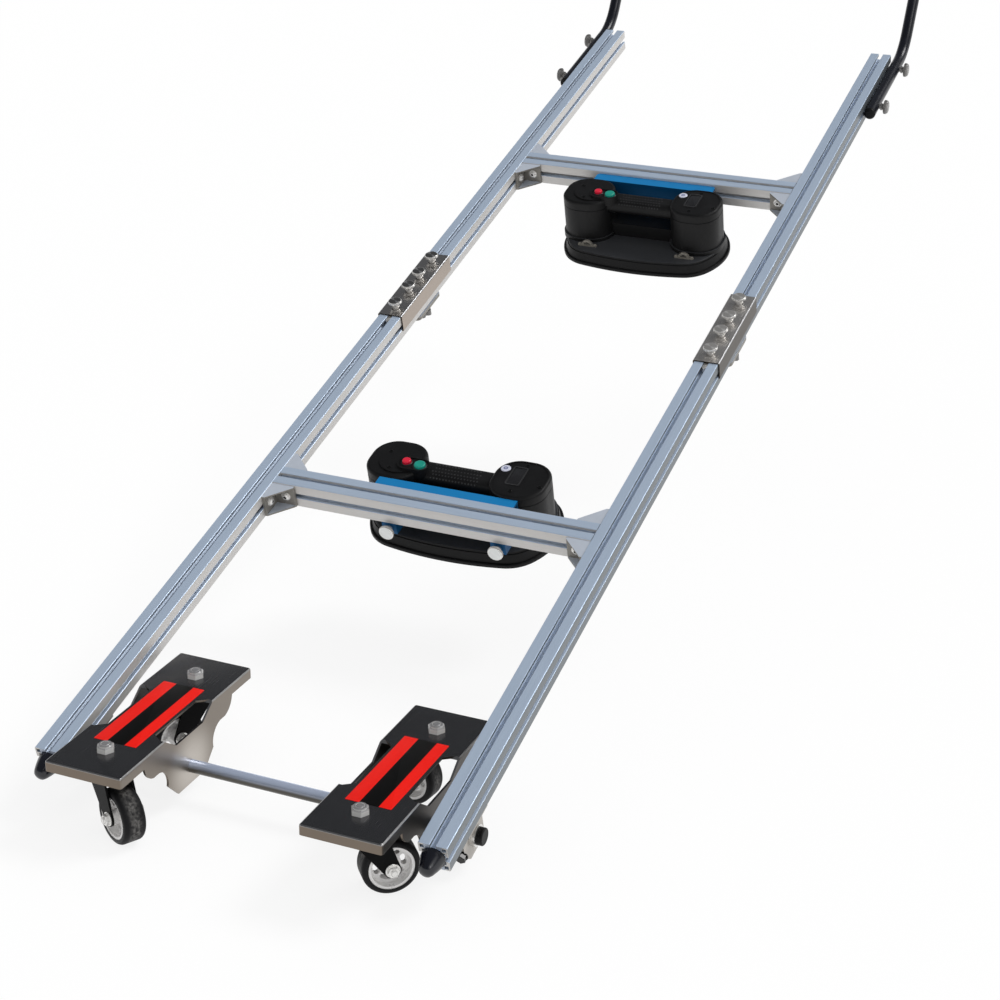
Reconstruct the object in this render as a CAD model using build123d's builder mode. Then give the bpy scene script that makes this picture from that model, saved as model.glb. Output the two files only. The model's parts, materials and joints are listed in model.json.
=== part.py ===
from build123d import *
import os
from math import asin, atan, atan2, cos, degrees, hypot, radians, sin

os.makedirs("parts", exist_ok=True)

# Fits
snug = 0.08
running = 0.05
slide_gap = 0.2
button_gap = 0.3

# Extruded rail section
rail_size = 40.0
rail_corner = 1.5
slot_width = 8.2
slot_lip = 4.5
slot_cavity = 20.0
slot_shoulder = 2.5
slot_floor = 11.0
slot_depth = 11.5
core_bore = 6.8
slot_chamfer = 0.6
rail_wall = 2.2
chamber_size = 5.6

# Frame layout, measured along the rails from their front ends
rail_spacing = 556.0
front_rail_length = 1176.0
rear_rail_length = 1010.0
front_bar_y = 626.0
rear_bar_offset = 465.0
tilt = 16.0

# Dolly and axle
axle_height = 47.2
axle_setback = 91.0
axle_drop = 31.0
tube_radius = 9.0
tube_wall = 2.5
hanger_inside = 280.0
hanger_thick = 6.0
hanger_half = 30.0
hanger_chamfer = 15.0
boss_radius = 18.0
boss_length = 10.0
foot_thick = 5.0
foot_margin = 2.0
collar_radius = 15.0
collar_length = 7.0
cap_radius = 12.0
cap_length = 9.0
cap_plug = 14.0
cap_edge = 2.0

# Folded dolly plate, heights taken from the axle
plate_width = 114.0
plate_length = 334.0
plate_rise = 68.3
plate_offset = 183.0
plate_sheet = 3.0
plate_inner_corner = 0.8
flange_depth = 15.0
belly_half = 34.0
belly_drop = 25.0
knee_y = 58.0
knee_z = -1.0
ledge_inner = 79.0
ledge_outer = 91.0
ledge_z = 30.0
scallop_bulge = 6.0
shoulder_y = 112.0
shoulder_bulge = 3.5
waist_half = 36.0
waist_reach = 66.0
waist_slope = 15.0
saddle_z = 48.5
saddle_half = 62.0
saddle_floor_half = 34.0

# Casters
king_y = 112.0
king_radius = 6.0
race_radius = 25.0
race_lower = 21.5
race_gap = 0.3
king_head_radius = 10.5
king_head_height = 4.0
king_end = 11.0
king_dome = 2.5
nut_radius = 10.5
nut_height = 8.0
nut_bevel = 1.4
nut_flange_radius = 12.5
nut_flange = 1.8
crown_radius = 27.0
crown_top = 102.5
crown_thick = 5.0
crown_half = 24.0
trail = 35.5
arm_half = 20.5
arm_sheet = 3.0
arm_end = 11.0
axle_bolt_radius = 4.0
axle_bolt_half = 29.0
axle_nut_radius = 7.0
axle_nut_length = 5.5
wheel_radius = 38.0
wheel_width = 32.0
tyre_inside = 30.0
tyre_shoulder = 6.0
hub_inset = 1.0
hub_rim = 3.5
hub_web = 9.0
hub_boss_radius = 10.0
hub_boss_half = 17.0
window_width = 7.2
window_ring = 18.5
window_span = 26.0
window_count = 6

# Joiners and their screws
joiner_length = 200.0
joiner_offset = -1.0
joiner_sheet = 2.0
joiner_depth = 29.0
joiner_bend = 2.5
joiner_screw_near = 22.0
joiner_screw_far = 76.0
screw_shaft = 3.5
screw_hole = 4.0
screw_neck_radius = 5.0
screw_neck = 2.5
screw_ring_radius = 6.8
screw_ring = 2.5
screw_groove = 1.2
screw_cone = 2.8
head_rim = 1.4
flat_edge_share = 0.18
round_edge_share = 0.44
joiner_head_radius = 11.0
joiner_head = 4.5
handle_head_radius = 12.5
handle_head = 7.5
clamp_head_radius = 11.5
clamp_head = 4.5
foot_width = 15.6
foot_length = 12.0
foot_height = 4.0

# Joint strips and knobs
strip_length = 90.0
strip_width = 38.0
strip_thick = 6.0
strip_gap = 4.5
strip_offset = 11.0
strip_corner = 8.0
key_height = 3.5
knob_offset = 14.0
knob_neck = 7.5
knob_core = 12.0
knob_lobe = 5.0
knob_lobes = 6
knob_head = 9.0

# Corner brackets and bumpers
corner_leg = 37.0
corner_height = 36.0
corner_wall = 4.0
corner_web = 2.5
corner_round = 2.5
corner_screw = 22.0
corner_hole = 4.2
bumper_base = 17.0
bumper_straight = 9.0
bumper_swell = 27.0
bumper_blunt = 12.0
bumper_length = 34.0
stud_length = 20.0

# Handles, set out from the rails' rear ends
handle_radius = 11.0
handle_wall = 2.0
handle_overlap = 205.0
handle_straight = 54.0
handle_rise = 45.0
handle_bend = 100.0
handle_reach = 300.0
grip_radius = 16.0
grip_length = 135.0
grip_cap = 5.0
grip_round = 4.0
plug_length = 8.0
plug_round = 5.0
plug_depth = 18.0
handle_screw_far = 176.0
handle_screw_near = 18.0

# Vacuum lifters, heights taken from the pad's sealing edge
lifter_x = 6.0
lifter_reach = 68.0
pad_drop = 65.5
pad_half_length = 154.0
pad_half_width = 96.0
pad_side_radius = 533.0
pad_end_radius = 110.0
pad_corner_radius = 60.0
pad_height = 20.0
pad_lip = 12.0
pad_recess = 9.0
pad_top_inset = 7.0
seal_height = 6.0
seal_round = 2.5
seal_step = 3.5
plinth_inset = 1.5
plinth_height = 4.0
plinth_round = 2.0
turret_half_depth = 46.0
turret_corner = 38.0
turret_top = 103.0
turret_round = 5.0
left_turret_x = -104.5
left_turret_length = 90.0
right_turret_x = 99.0
right_turret_length = 90.0
turret_foot = 3.0
turret_foot_height = 6.0
seam_drop = 16.0
seam_width = 1.2
seam_depth = 1.0
cap_rise = 2.0
left_cap_x = -97.5
left_cap_y = -2.5
left_cap_radius = 32.5
cap_rim = 5.5
cap_recess = 1.0
display_x = 91.0
display_y = 5.5
display_length = 42.0
display_width = 21.0
display_corner = 3.0
dial_x = 67.8
dial_y = 19.5
dial_radius = 8.0
window_depth = 1.2
core_middle = 9.0
core_half_depth = 21.0
core_top = 49.0
bar_middle = -3.5
bar_bottom = 73.0
bar_top = 100.0
bar_depth = 41.0
bar_flat = 2.0
panel_length = 52.0
panel_width = 30.0
panel_rise = 5.5
panel_root = 8.0
panel_x = -71.0
panel_y = -12.0
panel_rim = 2.0
panel_recess = 1.5
button_rise = 5.5
button_sink = 4.0
button_well = 9.0
button_dome = 2.5
red_button_x = -83.0
red_button_y = -10.0
red_button_radius = 7.0
green_button_x = -59.5
green_button_y = -14.0
green_button_radius = 9.0
eye_x = 92.0
eye_y = -59.0
eye_outer = 11.0
eye_inner = 7.0
eye_thick = 4.0
eye_foot_length = 36.0
eye_foot_width = 7.0
eye_foot_corner = 2.5
eye_foot_height = 2.5

# Blue lifter bracket, heights taken from the rails' underside
lip_length = 226.0
lip_top = 35.0
lip_sheet = 4.0
lip_corner = 6.0
plate_bottom = -22.0
clamp_left = -75.0
clamp_right = 102.0
clamp_width = 24.0
clamp_height = 20.0
clamp_axis = -11.0
clamp_setback = 2.0

# Values that follow from the ones above
rail_half = rail_size / 2
rail_x = rail_spacing / 2
inner_x = rail_x - rail_half
outer_x = rail_x + rail_half
wheel_axle = wheel_radius
plate_top = axle_height + plate_rise
plate_under = plate_top - plate_sheet
plate_corner = plate_inner_corner + plate_sheet
chamber_spacing = rail_size - 2 * rail_wall - chamber_size
joiner_y = front_rail_length + joiner_offset
strip_y = front_rail_length + strip_offset
knob_y = front_rail_length + knob_offset
rear_bar_y = front_rail_length + rear_bar_offset
rails_end = front_rail_length + rear_rail_length
lifter_bar_gap = rail_half + lifter_reach
bar_round = (bar_top - bar_bottom - bar_flat) / 2
handle_x = outer_x + slide_gap + handle_radius
handle_z = rail_half
handle_start = rails_end - handle_overlap
handle_corner = rails_end + handle_straight
handle_screws = (rails_end - handle_screw_far, rails_end - handle_screw_near)
handle_end_y = handle_corner + handle_reach * cos(radians(handle_rise))
handle_end_z = handle_z + handle_reach * sin(radians(handle_rise))
joiner_top = rail_size + slide_gap + joiner_sheet
foot_top = slot_lip + slide_gap

# Origin at the middle of the whole length, on the floor
grip_slope = radians(tilt + handle_rise)
grip_overhang = (grip_cap - grip_round) * cos(grip_slope) + grip_round
grip_overhang += (grip_radius - grip_round) * sin(grip_slope)
rear_run = (handle_end_y - axle_setback) * cos(radians(tilt))
rear_run -= (handle_end_z + axle_drop) * sin(radians(tilt))
rear_run += grip_overhang
axle_y = (plate_length / 2 - rear_run) / 2

# Tilted frame: X across, Y along the rails from their front ends, Z from their underside
frame_y = axle_y - axle_setback * cos(radians(tilt)) - axle_drop * sin(radians(tilt))
frame_z = axle_height - axle_setback * sin(radians(tilt)) + axle_drop * cos(radians(tilt))
frame_up = (0, -sin(radians(tilt)), cos(radians(tilt)))
FRAME = Plane(origin=(0, frame_y, frame_z), x_dir=(1, 0, 0), z_dir=frame_up)
ALONG = Axis(FRAME.origin, FRAME.y_dir)
UPWARD = Axis(FRAME.origin, FRAME.z_dir)


def frame_point(x, y, z):
    return FRAME.from_local_coords(Vector(x, y, z))


def facing_up(x, y, z):
    return Plane(origin=frame_point(x, y, z), x_dir=FRAME.x_dir, z_dir=FRAME.z_dir)


def facing_down(x, y, z):
    return Plane(origin=frame_point(x, y, z), x_dir=FRAME.x_dir, z_dir=-FRAME.z_dir)


def facing_front(x, y, z):
    return Plane(origin=frame_point(x, y, z), x_dir=FRAME.x_dir, z_dir=-FRAME.y_dir)


def facing_rear(x, y, z):
    return Plane(origin=frame_point(x, y, z), x_dir=-FRAME.x_dir, z_dir=FRAME.y_dir)


def facing_right(x, y, z):
    return Plane(origin=frame_point(x, y, z), x_dir=FRAME.y_dir, z_dir=FRAME.x_dir)


def facing_left(x, y, z):
    return Plane(origin=frame_point(x, y, z), x_dir=-FRAME.y_dir, z_dir=-FRAME.x_dir)


def save(part, name):
    part.label = name
    export_step(part, f"parts/{name}.step")


def draw_section():
    """T-slot section round the sketch plane's origin."""
    mouth = slot_width / 2 + slot_chamfer
    slot = (
        (-mouth - 1, rail_half + 1),
        (-slot_width / 2, rail_half - slot_chamfer),
        (-slot_width / 2, rail_half - slot_lip),
        (-slot_cavity / 2, rail_half - slot_lip),
        (-slot_cavity / 2, rail_half - slot_lip - slot_shoulder),
        (-slot_floor / 2, rail_half - slot_depth),
        (slot_floor / 2, rail_half - slot_depth),
        (slot_cavity / 2, rail_half - slot_lip - slot_shoulder),
        (slot_cavity / 2, rail_half - slot_lip),
        (slot_width / 2, rail_half - slot_lip),
        (slot_width / 2, rail_half - slot_chamfer),
        (mouth + 1, rail_half + 1),
    )
    RectangleRounded(rail_size, rail_size, rail_corner)
    Circle(core_bore / 2, mode=Mode.SUBTRACT)
    with PolarLocations(0, 4):
        Polygon(*slot, align=None, mode=Mode.SUBTRACT)
    with GridLocations(chamber_spacing, chamber_spacing, 2, 2):
        Rectangle(chamber_size, chamber_size, mode=Mode.SUBTRACT)


def draw_oval(inset):
    """Pad outline of side, corner and end arcs that run into each other, drawn in by inset."""
    end_x = pad_half_length - pad_end_radius
    side_y = pad_side_radius - pad_half_width
    to_end = pad_end_radius - pad_corner_radius
    to_side = pad_side_radius - pad_corner_radius
    apart = hypot(end_x, side_y)
    lean = (to_side**2 - apart**2 - to_end**2) / (2 * to_end * apart)
    low = asin(lean) - atan2(end_x, side_y)
    corner_x = end_x + to_end * cos(low)
    corner_y = to_end * sin(low)
    high = atan2(corner_y + side_y, corner_x)
    radius = pad_corner_radius - inset
    turns = (low, (low + high) / 2, high)
    bend = [(corner_x + radius * cos(turn), corner_y + radius * sin(turn)) for turn in turns]
    (x_low, y_low), (x_high, y_high) = bend[0], bend[-1]
    with BuildLine() as outline:
        for across in (-1, 1):
            tip = (across * (pad_half_length - inset), 0)
            flank = (0, across * (pad_half_width - inset))
            ThreePointArc((across * x_low, -y_low), tip, (across * x_low, y_low))
            ThreePointArc((-x_high, across * y_high), flank, (x_high, across * y_high))
            for along in (-1, 1):
                ThreePointArc(*[(across * x, along * y) for x, y in bend])
    make_face(outline.edges())


def stack(plane, steps):
    """Round steps on one axis, each given as radius, start and end."""
    for radius, start, end in steps:
        with BuildSketch(plane.offset(start)) as step:
            Circle(radius)
        extrude(step.sketch, amount=end - start)


def turned(plane, profile, edge):
    """Lathe work from radius and height pairs, with its widest rim rounded on top."""
    upright = Plane(origin=plane.origin, x_dir=plane.x_dir, z_dir=-plane.y_dir)
    with BuildSketch(upright) as half:
        Polygon(*profile, align=None)
        fillet(half.vertices().group_by(Axis.X)[-1].sort_by(Axis.Y)[-1], edge)
    revolve(half.sketch, Axis(plane.origin, plane.z_dir))


def slot_foot(plane, depth, turn):
    """Oblong foot that sits behind a slot's lips, depth below the plane."""
    with BuildSketch(plane.offset(-depth - foot_height)) as foot:
        Rectangle(foot_width, foot_length, rotation=turn)
    extrude(foot.sketch, amount=foot_height)


# Rails
def rail(name, side, start, length):
    with BuildPart() as bar:
        with BuildSketch(facing_front(side * rail_x, start + length, rail_half)):
            draw_section()
        extrude(amount=length)
    save(bar.part, name)


rail("front_rail_left", -1, 0, front_rail_length)
rail("front_rail_right", 1, 0, front_rail_length)
rail("rear_rail_left", -1, front_rail_length, rear_rail_length)
rail("rear_rail_right", 1, front_rail_length, rear_rail_length)


# Cross bars
def cross_bar(name, bar_y):
    with BuildPart() as bar:
        with BuildSketch(facing_right(-inner_x, bar_y, rail_half)):
            draw_section()
        extrude(amount=2 * inner_x)
    save(bar.part, name)


cross_bar("front_cross_bar", front_bar_y)
cross_bar("rear_cross_bar", rear_bar_y)


# Corner brackets, hollow on their slanting side
def corner_brackets(name, bar_y):
    outline = (
        (0, 0),
        (corner_leg, 0),
        (corner_leg, corner_wall),
        (corner_wall, corner_leg),
        (0, corner_leg),
    )
    with BuildPart() as corners:
        for side in (-1, 1):
            for face in (-1, 1):
                corner = frame_point(side * inner_x, bar_y + face * rail_half, rail_half)
                inward = FRAME.x_dir * -side
                plane = Plane(origin=corner, x_dir=inward, z_dir=FRAME.z_dir * (-side * face))
                with BuildSketch(plane) as profile:
                    Polygon(*outline, align=None)
                    fillet(profile.vertices().sort_by_distance((0, 0, 0))[-2:], corner_round)
                extrude(amount=corner_height / 2, both=True)
                with BuildSketch(plane):
                    with Locations((corner_wall, corner_wall)):
                        Rectangle(corner_leg, corner_leg, align=(Align.MIN, Align.MIN))
                extrude(amount=corner_height / 2 - corner_web, both=True, mode=Mode.SUBTRACT)
                on_bar = plane.from_local_coords(Vector(corner_screw, 0, 0))
                on_rail = plane.from_local_coords(Vector(0, corner_screw, 0))
                for spot, inside in ((on_bar, plane.y_dir), (on_rail, plane.x_dir)):
                    with BuildSketch(Plane(origin=spot, z_dir=inside)):
                        Circle(corner_hole)
                    extrude(amount=corner_wall, mode=Mode.SUBTRACT)
    save(corners.part, name)


corner_brackets("front_corner_brackets", front_bar_y)
corner_brackets("rear_corner_brackets", rear_bar_y)

# Bullet-shaped rubber bumpers with studs in the rails' core bores
with BuildPart() as bumpers:
    for side in (-1, 1):
        nose = facing_front(side * rail_x, 0, rail_half)
        with BuildSketch(Plane(origin=nose.origin, x_dir=nose.x_dir, z_dir=-nose.y_dir)):
            with BuildLine():
                tip = (0, bumper_length)
                waist = (bumper_base, bumper_straight)
                Polyline(tip, (0, 0), (bumper_base, 0), waist)
                Bezier(waist, (bumper_base, bumper_swell), (bumper_blunt, bumper_length), tip)
            make_face()
        revolve(axis=Axis(nose.origin, nose.z_dir))
        stack(nose, [(core_bore / 2 - snug, -stud_length, 0)])
save(bumpers.part, "rail_bumpers")


# Axle brackets
def axle_bracket(name, side):
    bore = tube_radius + running
    slant = hanger_half - hanger_chamfer
    outline = (
        (-hanger_half, axle_drop),
        (-hanger_half, -slant),
        (-slant, -hanger_half),
        (slant, -hanger_half),
        (hanger_half, -slant),
        (hanger_half, axle_drop),
    )
    with BuildPart() as hanger:
        hub_plane = facing_right(side * hanger_inside, axle_setback, -axle_drop)
        with BuildSketch(hub_plane):
            Polygon(*outline, align=None)
        extrude(amount=side * hanger_thick)
        with BuildSketch(facing_up(side * rail_x, axle_setback, -foot_thick)):
            Rectangle(rail_size - 2 * foot_margin, 2 * hanger_half)
        extrude(amount=foot_thick)
        with BuildSketch(hub_plane):
            Circle(boss_radius)
        extrude(amount=-side * boss_length)
        with BuildSketch(hub_plane):
            Circle(bore)
        extrude(amount=rail_size, both=True, mode=Mode.SUBTRACT)
    save(hanger.part, name)


axle_bracket("axle_bracket_left", -1)
axle_bracket("axle_bracket_right", 1)

# Axle tube with stop collars and end caps
AXLE = Plane(origin=(0, axle_y, axle_height), x_dir=(0, 1, 0), z_dir=(1, 0, 0))
tube_half = hanger_inside + hanger_thick + race_gap + collar_length
with BuildPart() as axle_tube:
    with BuildSketch(AXLE):
        Circle(tube_radius)
        Circle(tube_radius - tube_wall, mode=Mode.SUBTRACT)
    extrude(amount=tube_half, both=True)
save(axle_tube.part, "axle_tube")

with BuildPart() as collars:
    for side in (-1, 1):
        with BuildSketch(AXLE.offset(side * tube_half)):
            Circle(collar_radius)
            Circle(tube_radius + snug, mode=Mode.SUBTRACT)
        extrude(amount=-side * collar_length)
save(collars.part, "axle_collars")

with BuildPart() as axle_caps:
    for side in (-1, 1):
        end = AXLE.offset(side * tube_half)
        with BuildSketch(end):
            Circle(cap_radius)
        extrude(amount=side * cap_length)
        with BuildSketch(end):
            Circle(tube_radius - tube_wall - snug)
        extrude(amount=-side * cap_plug)
    outer_rims = axle_caps.edges().group_by(Axis.X)
    fillet(outer_rims[0] + outer_rims[-1], cap_edge)
save(axle_caps.part, "axle_caps")


# Folded dolly plates with scalloped sides and a saddle across the waist
def draw_scallops():
    """Half of the area below the plate's lower edge, from the middle to past one end."""
    under = plate_rise - flange_depth
    past = plate_length / 2 + plate_sheet
    below = -belly_drop - plate_sheet
    bite = (knee_y + ledge_inner) / 2 - scallop_bulge, (knee_z + ledge_z) / 2 + scallop_bulge
    swell = (ledge_outer + shoulder_y) / 2 + shoulder_bulge, (ledge_z + under) / 2 - shoulder_bulge
    with BuildLine() as outline:
        Polyline((0, below), (0, -belly_drop), (belly_half, -belly_drop), (knee_y, knee_z))
        ThreePointArc((knee_y, knee_z), bite, (ledge_inner, ledge_z))
        Line((ledge_inner, ledge_z), (ledge_outer, ledge_z))
        ThreePointArc((ledge_outer, ledge_z), swell, (shoulder_y, under))
        Polyline((shoulder_y, under), (past, under), (past, below), (0, below))
    make_face(outline.edges())


def dolly_plate(name, side):
    centre_x = side * plate_offset
    inside = plate_width - 2 * plate_sheet
    through = plate_width
    SIDE = Plane(origin=(centre_x, axle_y, axle_height), x_dir=(0, 1, 0), z_dir=(1, 0, 0))
    TOP = Plane(origin=(centre_x, axle_y, plate_top), x_dir=(1, 0, 0), z_dir=(0, 0, 1))
    deep = plate_rise + belly_drop
    waist = (
        (waist_half, 0),
        (waist_half, waist_reach - waist_slope),
        (plate_width / 2 + plate_sheet, waist_reach + plate_sheet),
        (plate_width / 2 + plate_sheet, -waist_reach - plate_sheet),
        (waist_half, waist_slope - waist_reach),
    )
    with BuildPart() as saddle:
        for flank in (0, 180):
            with BuildSketch(TOP):
                Polygon(*waist, align=None, rotation=flank)
            extrude(amount=-plate_rise)
        with BuildSketch(SIDE):
            rim = plate_rise + plate_sheet
            Polygon(
                (-saddle_half, plate_rise),
                (-saddle_floor_half, saddle_z),
                (saddle_floor_half, saddle_z),
                (saddle_half, plate_rise),
                (plate_length / 2, plate_rise),
                (plate_length / 2, rim),
                (-plate_length / 2, rim),
                (-plate_length / 2, plate_rise),
                align=None,
            )
        extrude(amount=through, both=True, mode=Mode.INTERSECT)
    with BuildPart() as plate:
        with BuildSketch(TOP):
            RectangleRounded(plate_width, plate_length, plate_corner)
        extrude(amount=-deep)
        fillet(plate.edges().group_by(Axis.Z)[-1], plate_sheet)
        with BuildSketch(TOP.offset(-plate_sheet)):
            RectangleRounded(inside, plate_length - 2 * plate_sheet, plate_inner_corner)
        extrude(amount=-deep, mode=Mode.SUBTRACT)
        with BuildSketch(SIDE):
            draw_scallops()
            mirror(about=Plane.YZ)
        extrude(amount=through, both=True, mode=Mode.SUBTRACT)
        add(saddle.part, mode=Mode.SUBTRACT)
        with BuildSketch(SIDE):
            Circle(tube_radius + snug)
        extrude(amount=through, both=True, mode=Mode.SUBTRACT)
        with BuildSketch(TOP):
            with Locations((0, -king_y), (0, king_y)):
                Circle(king_radius + snug)
        extrude(amount=-plate_rise / 2, mode=Mode.SUBTRACT)
    save(plate.part, name)


dolly_plate("dolly_plate_left", -1)
dolly_plate("dolly_plate_right", 1)

# Caster king pins with their upper races, and the nuts on top
kings = [(x, axle_y + y) for x in (-plate_offset, plate_offset) for y in (-king_y, king_y)]
crown_bottom = crown_top - crown_thick
race_bottom = crown_top + race_gap
head_top = crown_bottom - race_gap
race_taper = degrees(atan((race_radius - race_lower) / (plate_under - race_bottom)))
with BuildPart() as pivots:
    for x, y in kings:
        with BuildSketch(Plane((x, y, plate_under), z_dir=(0, 0, -1))):
            Circle(race_radius)
        extrude(amount=plate_under - race_bottom, taper=race_taper)
        stack(
            Plane((x, y, 0)),
            [
                (king_radius, head_top - king_head_height, plate_top + king_end),
                (king_head_radius, head_top - king_head_height, head_top),
            ],
        )
    fillet(pivots.edges().group_by(Axis.Z)[-1], king_dome)
save(pivots.part, "caster_pivots")

with BuildPart() as nut:
    with BuildSketch():
        RegularPolygon(nut_radius, 6)
    extrude(amount=nut_height)
    with BuildSketch(Plane.XZ):
        Polygon(
            (0, 0),
            (nut_radius, 0),
            (nut_radius, nut_height - nut_bevel),
            (nut_radius - nut_bevel, nut_height),
            (0, nut_height),
            align=None,
        )
    revolve(axis=Axis.Z, mode=Mode.INTERSECT)
    stack(Plane.XY, [(nut_flange_radius, 0, nut_flange)])
    with BuildSketch():
        Circle(king_radius + snug)
    extrude(amount=nut_height, mode=Mode.SUBTRACT)

with BuildPart() as nuts:
    with Locations(*[(x, y, plate_top) for x, y in kings]):
        add(nut.part)
save(nuts.part, "caster_nuts")


# Casters: fork with its axle bolt, hub and tyre
def caster(name, side, end, swivel):
    base = Plane((side * plate_offset, axle_y + end * king_y, 0))
    base = base.rotated((0, 0, swivel))
    flank = Plane(origin=base.origin, x_dir=base.x_dir, z_dir=-base.y_dir)
    hub_at = base.from_local_coords(Vector(trail, 0, wheel_axle))
    spin = Plane(origin=hub_at, x_dir=base.x_dir, z_dir=-base.y_dir)

    with BuildPart() as fork:
        with BuildSketch(flank):
            with Locations((trail, wheel_axle)):
                Circle(arm_end)
            with Locations((0, crown_top)):
                Rectangle(2 * crown_half, crown_thick, align=(Align.CENTER, Align.MAX))
            make_hull()
        extrude(amount=arm_half, both=True)
        with BuildSketch(flank):
            Rectangle(4 * wheel_radius, 2 * crown_bottom)
        extrude(amount=arm_half - arm_sheet, both=True, mode=Mode.SUBTRACT)
        stack(base, [(crown_radius, crown_bottom, crown_top)])
        with BuildSketch(base):
            Circle(king_radius + running)
        extrude(amount=2 * crown_top, mode=Mode.SUBTRACT)
        with BuildSketch(spin):
            Circle(axle_bolt_radius)
        extrude(amount=axle_bolt_half, both=True)
        for face in (-1, 1):
            with BuildSketch(spin.offset(face * arm_half)):
                RegularPolygon(axle_nut_radius, 6)
            extrude(amount=face * axle_nut_length)
    save(fork.part, f"{name}_fork")

    with BuildPart() as hub:
        with BuildSketch(spin):
            Circle(tyre_inside - snug)
            Circle(tyre_inside - hub_rim, mode=Mode.SUBTRACT)
        extrude(amount=wheel_width / 2 - hub_inset, both=True)
        with BuildSketch(spin):
            Circle(tyre_inside - hub_rim / 2)
            bend = Edge.make_circle(window_ring, start_angle=0, end_angle=window_span)
            with PolarLocations(0, window_count):
                SlotArc(bend, window_width, mode=Mode.SUBTRACT)
        extrude(amount=hub_web / 2, both=True)
        with BuildSketch(spin):
            Circle(hub_boss_radius)
        extrude(amount=hub_boss_half, both=True)
        with BuildSketch(spin):
            Circle(axle_bolt_radius + running)
        extrude(amount=wheel_width, both=True, mode=Mode.SUBTRACT)
    save(hub.part, f"{name}_hub")

    with BuildPart() as tyre:
        with BuildSketch(spin):
            Circle(wheel_radius)
        extrude(amount=wheel_width / 2, both=True)
        fillet(tyre.edges().filter_by(GeomType.CIRCLE), tyre_shoulder)
        with BuildSketch(spin):
            Circle(tyre_inside)
        extrude(amount=wheel_width, both=True, mode=Mode.SUBTRACT)
    save(tyre.part, f"{name}_tyre")


caster("front_left", -1, -1, 331.0)
caster("front_right", 1, -1, 41.0)
caster("rear_left", -1, 1, 239.0)
caster("rear_right", 1, 1, 172.0)


# Joiner channels and their thumb screws
screw_offsets = [-joiner_screw_far, -joiner_screw_near, joiner_screw_near, joiner_screw_far]


def joiner(name, side):
    wide = rail_size + 2 * (slide_gap + joiner_sheet)
    end = joiner_y + joiner_length / 2
    with BuildPart() as channel:
        with BuildSketch(facing_front(side * rail_x, end, joiner_top)) as section:
            Rectangle(wide, joiner_depth, align=(Align.CENTER, Align.MAX))
            fillet(section.vertices().group_by(Axis.Y)[-1], joiner_bend)
            with Locations((0, -joiner_sheet)):
                inside = rail_size + 2 * slide_gap
                Rectangle(inside, rail_size, align=(Align.CENTER, Align.MAX), mode=Mode.SUBTRACT)
        extrude(amount=joiner_length)
        with BuildSketch(facing_up(side * rail_x, joiner_y, joiner_top)):
            with Locations(*[(0, offset) for offset in screw_offsets]):
                Circle(screw_hole)
        extrude(amount=-2 * joiner_sheet, mode=Mode.SUBTRACT)
    save(channel.part, name)


def screw_grip(plane, base, head_radius, head, edge_share):
    """Neck, ring, cone and head of a thumb screw, standing on base."""
    ring_base = base + screw_neck
    groove_base = ring_base + screw_ring
    cone_base = groove_base + screw_groove
    head_base = cone_base + screw_cone
    profile = (
        (0, base),
        (screw_neck_radius, base),
        (screw_neck_radius, ring_base),
        (screw_ring_radius, ring_base),
        (screw_ring_radius, groove_base),
        (screw_neck_radius, groove_base),
        (screw_neck_radius, cone_base),
        (head_radius - head_rim, head_base),
        (head_radius, head_base),
        (head_radius, head_base + head),
        (0, head_base + head),
    )
    turned(plane, profile, edge_share * head)


def slot_screw(plane, reach, turn, base):
    """Shaft up to base, with its foot behind the slot lips reach below the plane."""
    stack(plane, [(screw_shaft, -reach - foot_height / 2, base)])
    slot_foot(plane, reach, turn)


def joiner_screws(name, side):
    with BuildPart() as screws:
        for offset in screw_offsets:
            spot = facing_up(side * rail_x, joiner_y + offset, joiner_top)
            slot_screw(spot, joiner_top - rail_size + foot_top, 0, 0)
            screw_grip(spot, 0, joiner_head_radius, joiner_head, flat_edge_share)
    save(screws.part, name)


for side, hand in ((-1, "left"), (1, "right")):
    joiner(f"joiner_{hand}", side)
    joiner_screws(f"joiner_screws_{hand}", side)

# Joint strips keyed into the rails' lower slots, each held by a knob
strip_bottom = strip_gap + strip_thick
with BuildPart() as strips:
    for side in (-1, 1):
        under = facing_down(side * rail_x, strip_y, -strip_gap)
        with BuildSketch(under):
            RectangleRounded(strip_width, strip_length, strip_corner)
        extrude(amount=strip_thick)
        with BuildSketch(under):
            Rectangle(slot_width - 2 * slide_gap, strip_length)
        extrude(amount=-strip_gap - key_height)
        with BuildSketch(facing_down(side * rail_x, knob_y, 0)):
            Circle(screw_hole)
        extrude(amount=rail_half, both=True, mode=Mode.SUBTRACT)
save(strips.part, "joint_strips")

with BuildPart() as knobs:
    for side in (-1, 1):
        under = facing_down(side * rail_x, knob_y, -strip_bottom)
        slot_screw(under, strip_bottom + foot_top, 0, 0)
        stack(under, [(screw_neck_radius, 0, knob_neck)])
        with BuildSketch(under.offset(knob_neck)):
            Circle(knob_core)
            with PolarLocations(knob_core, knob_lobes):
                Circle(knob_lobe)
        extrude(amount=knob_head)
save(knobs.part, "joint_knobs")


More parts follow.
